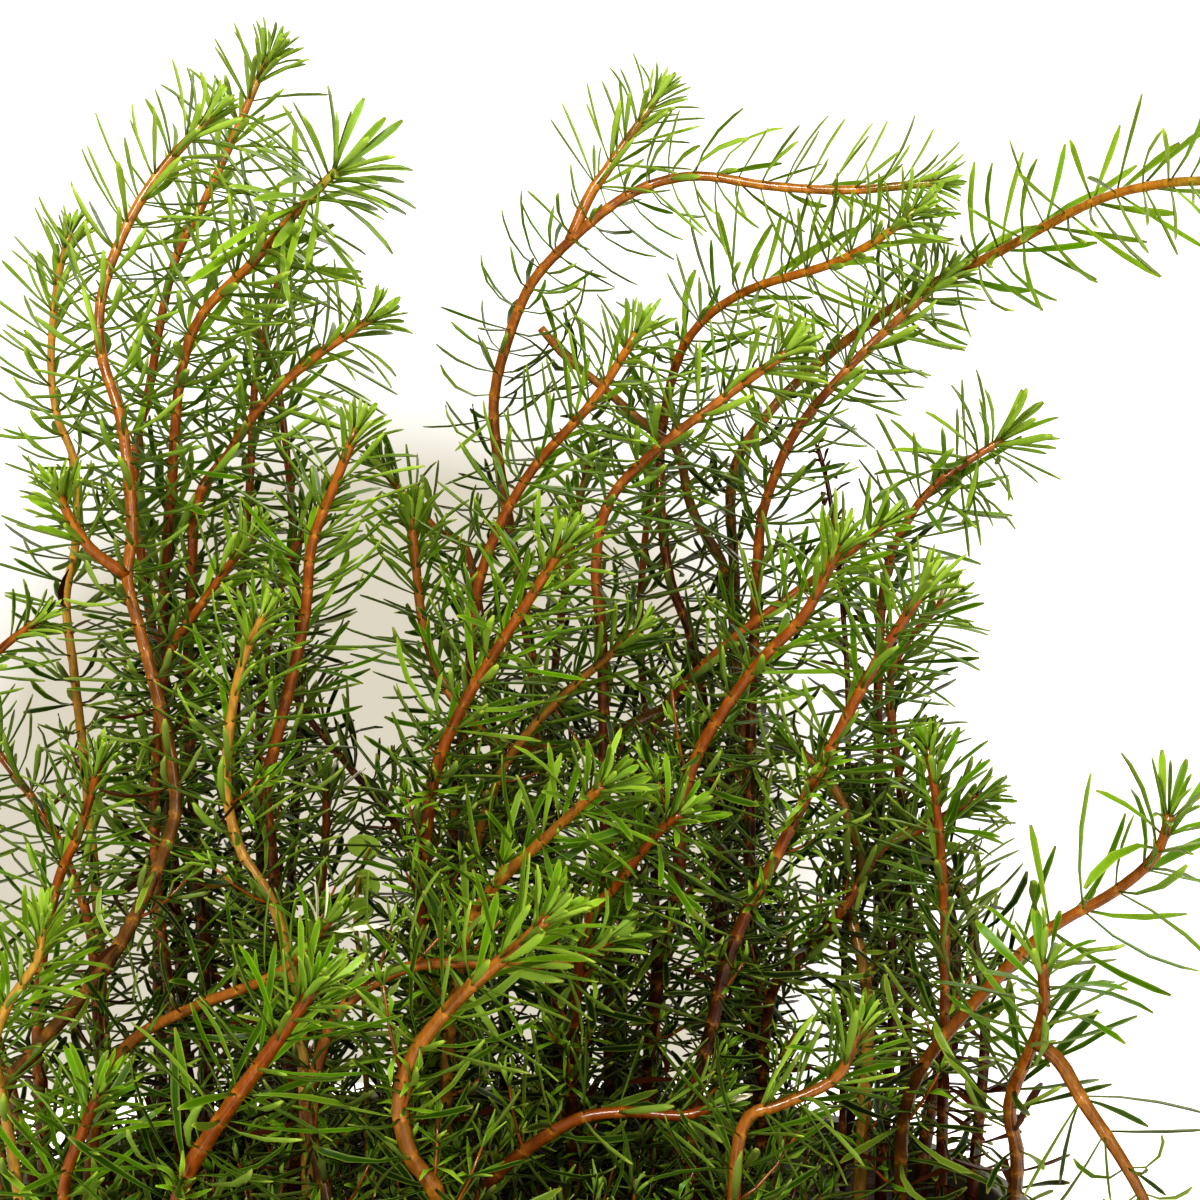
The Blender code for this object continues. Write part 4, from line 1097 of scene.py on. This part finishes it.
class Tubes:
    """Closed tubes with swollen joints, turned into one mesh at the end."""

    def __init__(self, rng):
        self.rng = rng
        self.points, self.faces, self.looks = [], [], []
        self.count = 0

    def add(self, centres, tangents, sides, radii, around, age_and_shade, ochre, joint):
        """A tube round a line's centres; age and joint run along it."""
        others = np.cross(tangents, sides)
        turns = np.arange(around) * math.tau / around
        wobble = 1 + STEM_WOBBLE * np.array([[self.rng.gauss(0, 1) for _ in turns] for _ in radii])
        ring = np.cos(turns)[None, :, None] * sides[:, None] + np.sin(turns)[None, :, None] * others[:, None]
        points = centres[:, None] + ring * (radii[:, None] * wobble)[..., None]
        rows = len(radii)
        base = np.arange(around)
        following = (base + 1) % around
        band = np.column_stack((base, following, following + around, base + around))
        for row in range(rows - 1):
            self.faces.extend(band + row * around + self.count)
        self.faces.append(base[::-1] + self.count)
        self.faces.append(base + (rows - 1) * around + self.count)
        looks = np.zeros((rows, around, 4))
        looks[..., 0] = np.clip(age_and_shade, 0, 1)[:, None]
        looks[..., 1] = ochre
        looks[..., 2] = joint[:, None]
        looks[..., 3] = self.rng.random()
        self.points.append(points.reshape(-1, 3))
        self.looks.append(looks.reshape(-1, 4))
        self.count += rows * around

    def mesh(self, name):
        return make_mesh(name, np.vstack(self.points), self.faces, np.vstack(self.looks))


def thinned(places, last):
    """Sorted places with those dropped that crowd the one before, ending at the last."""
    kept = [min(places)]
    for place in sorted(places):
        if CROWDED < place - kept[-1] and place < last - CROWDED:
            kept.append(place)
    return np.array([*kept, last])


def grow_stem(tubes, line, habit, places, tip_age, rooted, around):
    """One shoot's stem, swollen into a ring at each whorl."""
    joints = np.array(sorted(places))
    lower = joints[line.length - joints > SMOOTH_TIP]
    rings = set(np.arange(0, line.length, STEM_STEP))
    for joint in lower:
        rings.update(joint + offset for offset in JOINT_RINGS)
    along = thinned([place for place in rings if place >= 0], line.length)
    centres, tangents, sides = line.at(along)
    near = np.exp(-(((along[:, None] - lower[None, :]) / JOINT_WIDTH) ** 2)).max(axis=1, initial=0)
    radii = line.radii(along) * (1 + JOINT_SWELL * near)
    age_and_shade = (line.length - along + tip_age + habit["older"] * MM) / STEM_AGE_SPAN
    # Painted shade: shade(centre) darkens the stem inside the clump on top of its age.
    age_and_shade += [shade(centre) for centre in centres]
    if rooted:
        centres = np.vstack((centres[0] - (0, 0, FOOT_SINK), centres))
        tangents, sides = np.vstack((tangents[0], tangents)), np.vstack((sides[0], sides))
        radii, near, age_and_shade = (np.concatenate((rows[:1], rows)) for rows in (radii, near, age_and_shade))
    tubes.add(centres, tangents, sides, radii, around, age_and_shade, habit["ochre"], near)


def grow_sprig(tubes, leaves, foot, heading, rise, whorls, age_and_shade, rng):
    """A short leafy sprig that starts along a heading and bends towards its rise."""
    shares = np.linspace(0, 1, SPRIG_RINGS)
    spine = foot + heading * shares[:, None] + rise * (shares**2)[:, None]
    tangents = unit(np.gradient(spine, axis=0))
    sides = unit(np.cross(tangents, (0.3, 0.9, 0.2)))
    radii = SPRIG_RADIUS * (1 - 0.4 * shares)
    # Sprig stems darken with age, which carries painted shade from shaded().
    old = np.full(SPRIG_RINGS, 0.3 + 0.7 * age_and_shade)
    tubes.add(spine, tangents, sides, radii, SPRIG_SIDES, old, 0.1, np.zeros(SPRIG_RINGS))
    turn = rng.uniform(0, math.tau)
    for share_up in whorls:
        centre = np.array([np.interp(share_up, shares, spine[:, axis]) for axis in range(3)])
        index = int(share_up * (SPRIG_RINGS - 1) + 0.5)
        up, across = tangents[index], sides[index]
        other = np.cross(up, across)
        turn += 0.8
        for step in range(SPRIG_LEAVES):
            around = turn + math.tau * step / SPRIG_LEAVES + rng.gauss(0, 0.25)
            leaves.add(
                centre, math.cos(around) * across + math.sin(around) * other, up,
                rng.uniform(*SPRIG_LEAF) * (1 - 0.25 * share_up), SPRIG_LEAF_WIDTH,
                math.radians(5 + 55 * share_up**2 + rng.gauss(0, 12)), math.radians(rng.gauss(0, 40)),
                math.radians(rng.gauss(0, 20)), math.radians(rng.gauss(0, 12)),
                math.radians(rng.gauss(0, 25)), 0.0,
                min(max(age_and_shade + rng.gauss(0, 0.1) - 0.15 * share_up, 0.25), 1.0), rng.uniform(0.0, 0.9))


def shaded(place, deep):
    """How old growth looks at a place, with painted shade: darker further back, and darker lower on its shoot."""
    back = min(max((place[1] + 50 * MM) / (70 * MM), 0.0), 1.0)
    return deep * (0.68 + 0.3 * back)


def grow_side_sprigs(tubes, leaves, line, habit, places, rng):
    """Short side sprigs at the lower whorls, which close the clump near the soil."""
    for place in places:
        short = line.length - place
        (centre,), (tangent,), (side,) = line.at(np.array([place]))
        inward = min(max((centre[0] + 45 * MM) / (30 * MM), 0.0), 1.0)
        likely = SPRIG_SHARE * (0.08 + 0.92 * inward) * min(max((62 * MM - centre[0]) / (18 * MM), 0.0), 1.0)
        if place > SPRIG_TOP or short < SPRIG_BELOW_TIP or rng.random() > likely:
            continue
        angle = rng.uniform(0, math.tau)
        out = math.cos(angle) * side + math.sin(angle) * np.cross(tangent, side)
        lean = math.radians(rng.uniform(15, 60))
        long = rng.uniform(*SPRIG_LENGTHS)
        heading = (math.cos(lean) * out + math.sin(lean) * tangent) * long
        rise = (tangent + (0, 0, 1)) * long * rng.uniform(0.1, 0.35)
        # Painted shade: shaded() darkens the sprig further back in the clump, on top of its age.
        age_and_shade = shaded(centre, min((short + habit["older"] * MM) / LEAF_AGE_SPAN, 1.0))
        grow_sprig(tubes, leaves, centre, heading, rise, SPRIG_WHORLS, age_and_shade, rng)


def on_soil(rng, reach):
    """A random place on the soil within a reach of the pot's axis."""
    away, angle = reach * math.sqrt(rng.random()), rng.uniform(0, math.tau)
    x, y = away * math.cos(angle), away * math.sin(angle)
    return np.array((x, y, soil_height(x, y)))


def grow_low(tubes, leaves, rng):
    """Low shoots all over the soil, which lean outwards near the rim."""
    for _ in range(LOW_SHOOTS):
        foot = on_soil(rng, LOW_REACH)
        if foot[0] > BARE_RIGHT[0] and math.hypot(foot[0], foot[1]) > BARE_RIGHT[1]:
            continue
        outward = foot * (1, 1, 0) / LOW_REACH
        tall = rng.uniform(*LOW_HEIGHTS) * (1.25 - 0.5 * np.linalg.norm(outward))
        drift = np.array((rng.gauss(0, 0.3), rng.gauss(0, 0.3), 1.0)) + 0.5 * outward
        heading = drift * tall * 0.75
        rise = np.array((rng.gauss(0, 0.15), rng.gauss(0, 0.15), 0.3)) * tall
        # Painted shade: low growth is dark near the soil whatever its age, less so towards the open left side, and
        # darker further back.
        age_and_shade = shaded(foot, 0.95 - 0.4 * leftward(foot)) + rng.gauss(0, 0.06)
        grow_sprig(tubes, leaves, foot - (0, 0, 1 * MM), heading, rise, LOW_WHORLS, min(max(age_and_shade, 0.1), 1.0), rng)


def shoot_lines():
    """Every shoot's line, shared with its solid, and each branch's fork."""
    paths, forks = lay_routes()
    radii = {name: stem * MM / 2 for name, stem, *_ in SHOOTS}
    ease_apart(paths, radii, forks)
    return {name: Line(paths[name], radii[name]) for name in paths}, forks


def rounded(corners, steps=5):
    """A profile with its corners rounded: each corner is (radius, height, rounding)."""
    points = []
    for before, corner, after in zip(corners, corners[1:], corners[2:]):
        here = np.array(corner[:2])
        back, ahead = np.array(before[:2]) - here, np.array(after[:2]) - here
        if corner[2] == 0:
            points.append(here)
            continue
        start = here + back * (corner[2] / np.linalg.norm(back))
        end = here + ahead * (corner[2] / np.linalg.norm(ahead))
        for t in np.linspace(0, 1, steps):
            points.append((1 - t) ** 2 * start + 2 * t * (1 - t) * here + t * t * end)
    return np.array(points)


def turned(name, profile, around):
    """A mesh turned about Z from (radius, height) points, closed with a face at each end."""
    turns = np.arange(around) * math.tau / around
    ring = np.stack((np.cos(turns), np.sin(turns)), axis=1)
    points = np.concatenate([
        np.column_stack((ring * radius, np.full(around, height))) for radius, height in profile])
    base = np.arange(around)
    following = (base + 1) % around
    faces = []
    for row in range(len(profile) - 1):
        start = row * around
        faces.extend(np.column_stack((
            base + start, base + start + around, following + start + around, following + start)))
    faces.append(base)
    faces.append(base[::-1] + (len(profile) - 1) * around)
    return make_mesh(name, points, faces, np.zeros((len(points), 4)))


def pot_mesh(lip_round):
    """The pot with its lip and foot rounded, from inside the floor, over the lip, to the underside."""
    rim = RIM_DIAMETER / 2
    lip_foot = POT_HEIGHT - LIP_HEIGHT
    corners = (
        (0, POT_FLOOR, 0),
        (0.5 * MM, POT_FLOOR, 0),
        (outer_radius(POT_FLOOR) - POT_WALL, POT_FLOOR, 1.5 * MM),
        (inner_radius(POT_HEIGHT), POT_HEIGHT, lip_round),
        (rim, POT_HEIGHT, lip_round),
        (rim, lip_foot, lip_round),
        (outer_radius(lip_foot), lip_foot, lip_round),
        (FOOT_DIAMETER / 2, 0, 2 * MM),
        (FOOT_DIAMETER / 2 - 5 * MM, 0, 0.4 * MM),
        (FOOT_DIAMETER / 2 - 6 * MM, 0.8 * MM, 0.4 * MM),
        (0.5 * MM, 0.8 * MM, 0),
        (0, 0.8 * MM, 0),
    )
    return turned("pot_shell", rounded(corners)[::-1], POT_SEGMENTS)


def soil_rough(x, y):
    """Uneven height of the soil: the slow waves of its solid, with clods and crumbs on them."""
    long, middle, short = SOIL_WAVES
    waves = SOIL_LUMP * (math.sin(x / long) + math.cos(y / middle) + math.sin((x + y) / short)) / 3
    clods = turbulence(Vector((x, y, 0)) / (5 * MM), 4, False) * 1.3 * MM
    return waves + clods - 0.9 * MM


def soil_mesh():
    """The soil: a rough surface with a skirt that runs down inside the pot."""
    edge = inner_radius(SOIL_EDGE) - GAP
    floor = POT_FLOOR + GAP
    shares = np.linspace(1, 0.01, SOIL_SURFACE_RINGS)
    profile = [(inner_radius(floor) - GAP, floor)]
    profile += [(edge * share, soil_height(edge * share, 0)) for share in shares]
    mesh = turned("soil_surface", profile[::-1], SOIL_SEGMENTS)
    for point in mesh.vertices:
        away = math.hypot(point.co.x, point.co.y) / edge
        if point.co.z > SOIL_EDGE - GAP:
            point.co.z += soil_rough(point.co.x, point.co.y) * min((1 - away) * 12, 1.0)
    return mesh


def litter_mesh(rng):
    """Crumbs and gravel scattered over the soil, joined in one mesh."""
    shape = bmesh.new()
    bmesh.ops.create_icosphere(shape, subdivisions=1, radius=1)
    unit_points = np.array([vertex.co[:] for vertex in shape.verts])
    unit_faces = np.array([[vertex.index for vertex in face.verts] for face in shape.faces])
    shape.free()
    points, faces, looks = [], [], []
    for number in range(CRUMBS):
        place = on_soil(rng, LOW_REACH)
        stone = rng.random() < GRAVEL_SHARE
        across = rng.uniform(*(GRAVEL_SIZES if stone else CRUMB_SIZES)) * rng.uniform(0.6, 1.0)
        stretch = np.array([rng.uniform(0.6, 1.1) for _ in range(3)])
        dents = 1 + 0.2 * np.array([[rng.gauss(0, 0.6)] for _ in unit_points])
        place[2] += soil_rough(place[0], place[1]) + across * 0.2
        points.append(place + unit_points * dents * stretch * across)
        faces.extend(unit_faces + number * len(unit_points))
        looks.append(np.tile((float(stone), rng.random(), 0, 0), (len(unit_points), 1)))
    return make_mesh("litter", np.vstack(points), faces, np.vstack(looks))


def fallen_leaves(leaves, rng):
    """Withered leaves that lie on the soil."""
    for _ in range(SHED_LEAVES):
        place = on_soil(rng, LOW_REACH)
        place[2] += soil_rough(place[0], place[1]) + 0.6 * MM
        angle = rng.uniform(0, math.tau)
        leaves.add(
            place, np.array((math.cos(angle), math.sin(angle), 0.0)), np.array((0.0, 0.0, 1.0)),
            rng.uniform(4, 9) * MM, rng.uniform(0.6, 1.1) * MM,
            math.radians(rng.uniform(0, 20)), math.radians(rng.uniform(-50, 30)),
            math.radians(rng.gauss(0, 40)), math.radians(rng.gauss(0, 30)), math.radians(rng.gauss(0, 60)),
            0.0, 1.0, 0.0)


def grow_seedling(tubes):
    """The seedling's stem, and its round leaves as flattened cushions; returns the leaves' arrays."""
    foot = soil_point(SEEDLING_FOOT[0], SEEDLING_FOOT[1] * MM)
    route = [foot, *(seen_at(*pixel, SEEDLING_DEPTH) for pixel in SEEDLING_STEM)]
    line = Line(smooth_path(route), SEEDLING_RADIUS)
    along = np.linspace(0, line.length, 28)
    centres, tangents, sides = line.at(along)
    tubes.add(centres, tangents, sides, line.radii(along), 10, np.zeros(len(along)), 0.6, np.zeros(len(along)))
    scale = (SEEDLING_DEPTH - EYE[1]) / FOCAL_PIXELS
    points, faces, looks = [], [], []
    count = 0
    for across, down, wide, tall, turn in SEEDLING_LEAVES:
        shape = bmesh.new()
        bmesh.ops.create_uvsphere(shape, u_segments=28, v_segments=12, radius=1)
        raw = np.array([vertex.co[:] for vertex in shape.verts])
        for face in shape.faces:
            faces.append(np.array([vertex.index for vertex in face.verts]) + count)
        shape.free()
        count += len(raw)
        face_on = raw[:, (0, 2, 1)]
        cup = 0.25 * (face_on[:, 0] ** 2 + face_on[:, 2] ** 2)
        sized = face_on * (wide * scale / 2, SEEDLING_THICKNESS / 2, tall * scale / 2)
        sized[:, 1] -= cup * wide * scale / 4
        angle = math.radians(turn)
        level = np.array(((math.cos(angle), 0, math.sin(angle)), (0, 1, 0), (-math.sin(angle), 0, math.cos(angle))))
        swung = np.array(((math.cos(angle), -math.sin(angle), 0), (math.sin(angle), math.cos(angle), 0), (0, 0, 1)))
        points.append(sized @ swung.T @ level.T + seen_at(across, down, SEEDLING_DEPTH))
        tone = np.tile((0.08, 0.85, 0.3, 0.0), (len(raw), 1))
        # The front half of each round leaf gets the paler margin tone of the leaf material, partly its own tone and
        # partly painted glow.
        tone[:, 3] = np.where(raw[:, 2] > 0, 0.0, 0.5)
        looks.append(tone)
    return np.vstack(points), faces, np.vstack(looks)


class ROTALA_OT_shoots(bpy.types.Operator):
    """Grow every shoot: its stem and its whorls of leaves"""

    bl_idname = "rotala.shoots"
    bl_label = "Shoots"

    def execute(self, context):
        set_by = settings("rotala_shoots")
        lines, forks = shoot_lines()
        skin, cuticle = stem_material(), bpy.data.materials[LEAF_SKIN]
        rng = random.Random(SEED)
        sprig_stems, sprig_leaves = Tubes(rng), Leaves(set_by.leaf_thickness, SMALL_STATIONS, SMALL_WIDTHS)
        for name, _, leaf_length, *_ in SHOOTS:
            line = lines[name]
            habit = {**HABIT, **HABITS.get(name, {})}
            tip_age = 30 * MM if name == "arch_leg" else 0.0
            rooted = name not in forks or forks[name][1] is None
            places = whorl_places(line.length, habit["internode"] * MM, tip_age, habit["growth"])
            tubes, leaves = Tubes(rng), Leaves(set_by.leaf_thickness)
            grow_stem(tubes, line, habit, places, tip_age, rooted, set_by.stem_sides)
            dry = name in DRY_SHOOTS
            dress_shoot(line, habit, leaf_length * MM, places, tip_age, dry, leaves, rng)
            if rooted and not dry:
                grow_side_sprigs(sprig_stems, sprig_leaves, line, habit, places, rng)
            add_piece(name + "_stem", tubes.mesh(name + "_stem"), skin, "stem", name)
            add_piece(name + "_leaves", leaves.mesh(name + "_leaves"), cuticle, "leaf", name)
        add_piece("side_sprig_stems", sprig_stems.mesh("side_sprig_stems"), skin, "stem")
        add_piece("side_sprig_leaves", sprig_leaves.mesh("side_sprig_leaves"), cuticle, "leaf")
        return {"FINISHED"}


class ROTALA_OT_low_growth(bpy.types.Operator):
    """Grow the low shoots on the soil and the round-leaved seedling"""

    bl_idname = "rotala.low_growth"
    bl_label = "Low growth"

    def execute(self, context):
        set_by = settings("rotala_shoots")
        skin, cuticle = bpy.data.materials[STEM_SKIN], bpy.data.materials[LEAF_SKIN]
        rng = random.Random(SEED + 1)
        tubes, leaves = Tubes(rng), Leaves(set_by.leaf_thickness, SMALL_STATIONS, SMALL_WIDTHS)
        grow_low(tubes, leaves, rng)
        add_piece("low_shoot_stems", tubes.mesh("low_shoot_stems"), skin, "stem")
        add_piece("low_shoot_leaves", leaves.mesh("low_shoot_leaves"), cuticle, "leaf")
        tubes = Tubes(rng)
        points, faces, looks = grow_seedling(tubes)
        add_piece("seedling_stem", tubes.mesh("seedling_stem"), skin, "stem", "seedling")
        add_piece("seedling_leaves", make_mesh("seedling_leaves", points, faces, looks), cuticle, "leaf", "seedling")
        return {"FINISHED"}


class ROTALA_OT_pot(bpy.types.Operator):
    """Finish the pot and its soil"""

    bl_idname = "rotala.pot"
    bl_label = "Pot and soil"

    def execute(self, context):
        set_by = settings("rotala_pot")
        rng = random.Random(SEED + 2)
        add_piece("pot_shell", pot_mesh(set_by.lip_round), pot_material(), "pot", "pot")
        add_piece("soil_surface", soil_mesh(), soil_material(), "soil", "soil")
        add_piece("soil_litter", litter_mesh(rng), litter_material(), "soil")
        leaves = Leaves(settings("rotala_shoots").leaf_thickness)
        fallen_leaves(leaves, rng)
        add_piece("fallen_leaves", leaves.mesh("fallen_leaves"), leaf_material(), "leaf")
        return {"FINISHED"}


class ROTALA_OT_stage(bpy.types.Operator):
    """Set up the floor, the soft light and the camera"""

    bl_idname = "rotala.stage"
    bl_label = "Stage"

    def execute(self, context):
        scene = context.scene
        set_by = settings("rotala_stage")
        floor_mesh = bpy.data.meshes.new("floor")
        shape = bmesh.new()
        bmesh.ops.create_circle(shape, cap_ends=True, segments=64, radius=FLOOR_RADIUS)
        shape.to_mesh(floor_mesh)
        shape.free()
        floor = bpy.data.objects.new("floor", floor_mesh)
        made, tree, shader = new_material("painted board, pale matt")
        shader.inputs["Roughness"].default_value = 0.9
        place = add_node(tree, "ShaderNodeTexCoord").outputs["Object"]
        away = add_node(tree, "ShaderNodeVectorMath", links={0: place}, operation="LENGTH").outputs["Value"]
        # Painted light: the floor glows for the camera, weaker near the pot and brighter away from it, and faintly for
        # all other rays.
        glow = ranged(tree, away, FADE_FROM, FADE_TO, FLOOR_NEAR, FLOOR_FAR)
        seen = add_node(tree, "ShaderNodeLightPath").outputs["Is Camera Ray"]
        shown = add_node(
            tree, "ShaderNodeMapRange", {"From Min": 0.0, "From Max": 1.0, "To Min": FLOOR_BOUNCE},
            {"Value": seen, "To Max": glow})
        shader.inputs["Base Color"].default_value = (*set_by.floor, 1.0)
        shader.inputs["Emission Color"].default_value = (*set_by.floor, 1.0)
        tree.links.new(shown.outputs["Result"], shader.inputs["Emission Strength"])
        floor_mesh.materials.append(made)
        scene.collection.objects.link(floor)
        floor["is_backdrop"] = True

        world = bpy.data.worlds.new("plain white surround")
        scene.world = world
        world.use_nodes = True
        sky = world.node_tree.nodes["Background"]
        tree = world.node_tree
        seen = add_node(tree, "ShaderNodeLightPath").outputs["Is Camera Ray"]
        # Painted shade: camera rays see the warm grey patch behind the clump, and white elsewhere.
        inside = painted_backdrop_shade(tree, add_node(tree, "ShaderNodeTexCoord").outputs["Generated"])
        shown = mixed(tree, inside, (SKY_SEEN, SKY_SEEN, SKY_SEEN), set_by.painted_backdrop_shade)
        plain = [share * set_by.sky_strength for share in set_by.sky]
        tree.links.new(mixed(tree, seen, plain, shown), sky.inputs["Color"])

        for name, place, power, wide in (
            ("key_light", (-0.16, -0.62, 0.46), set_by.key_power, 0.2),
            ("fill_light", (0.4, -0.66, 0.26), set_by.fill_power, 0.4),
            ("back_light", (0.25, 0.8, 0.7), set_by.back_power, 0.7),
        ):
            lamp = bpy.data.lights.new(name, "AREA")
            lamp.energy = power
            lamp.size = wide
            holder = bpy.data.objects.new(name, lamp)
            holder.location = place
            aim = Vector((0, 0, 0.17)) - Vector(place)
            holder.rotation_euler = aim.to_track_quat("-Z", "Y").to_euler()
            scene.collection.objects.link(holder)

        camera = bpy.data.cameras.new("camera")
        camera.sensor_width = SENSOR
        camera.lens = FOCAL_PIXELS / (2 * FRAME_CENTRE) * SENSOR
        camera.clip_start = 0.01
        holder = bpy.data.objects.new("camera", camera)
        holder.location = EYE
        holder.rotation_euler = (math.radians(90), 0, 0)
        scene.collection.objects.link(holder)
        scene.camera = holder
        scene.view_settings.view_transform = "Standard"
        scene.view_settings.look = "Medium High Contrast"
        return {"FINISHED"}


class ROTALA_PT_panel(bpy.types.Panel):
    """Sizes, colours and steps of the potted rotala"""

    bl_idname = "ROTALA_PT_panel"
    bl_label = "Potted rotala"
    bl_space_type = "VIEW_3D"
    bl_region_type = "UI"
    bl_category = "Rotala"

    def draw(self, context):
        for operator in OPERATORS:
            self.layout.operator(operator.bl_idname)
        for name, group in GROUPS.items():
            box = self.layout.box()
            for item in group.__annotations__:
                box.prop(getattr(context.scene, name), item)


GROUPS = {
    "rotala_shoots": RotalaShootSettings,
    "rotala_pot": RotalaPotSettings,
    "rotala_stage": RotalaStageSettings,
}
OPERATORS = (ROTALA_OT_stage, ROTALA_OT_pot, ROTALA_OT_shoots, ROTALA_OT_low_growth)


def register():
    for made in (*GROUPS.values(), *OPERATORS, ROTALA_PT_panel):
        bpy.utils.register_class(made)
    for name, group in GROUPS.items():
        setattr(bpy.types.Scene, name, bpy.props.PointerProperty(type=group))


def unregister():
    for name in GROUPS:
        delattr(bpy.types.Scene, name)
    for made in reversed((*GROUPS.values(), *OPERATORS, ROTALA_PT_panel)):
        bpy.utils.unregister_class(made)


def triangle_count():
    rows = sorted(((sum(len(face.vertices) - 2 for face in item.data.polygons), item.name) for item in bpy.data.objects
                   if item.type == "MESH" and not item.hide_render), reverse=True)
    return sum(row[0] for row in rows), rows[:8]


def main():
    register()
    bpy.ops.rotala.stage()
    bpy.ops.rotala.pot()
    bpy.ops.rotala.shoots()
    bpy.ops.rotala.low_growth()
    print("TRIANGLES", triangle_count())
    boxes = {"cad": CAD_BOX, "visual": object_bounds()}
    {name: [list(corner) for corner in box] for name, box in boxes.items()}


if __name__ == "__main__":
    main()
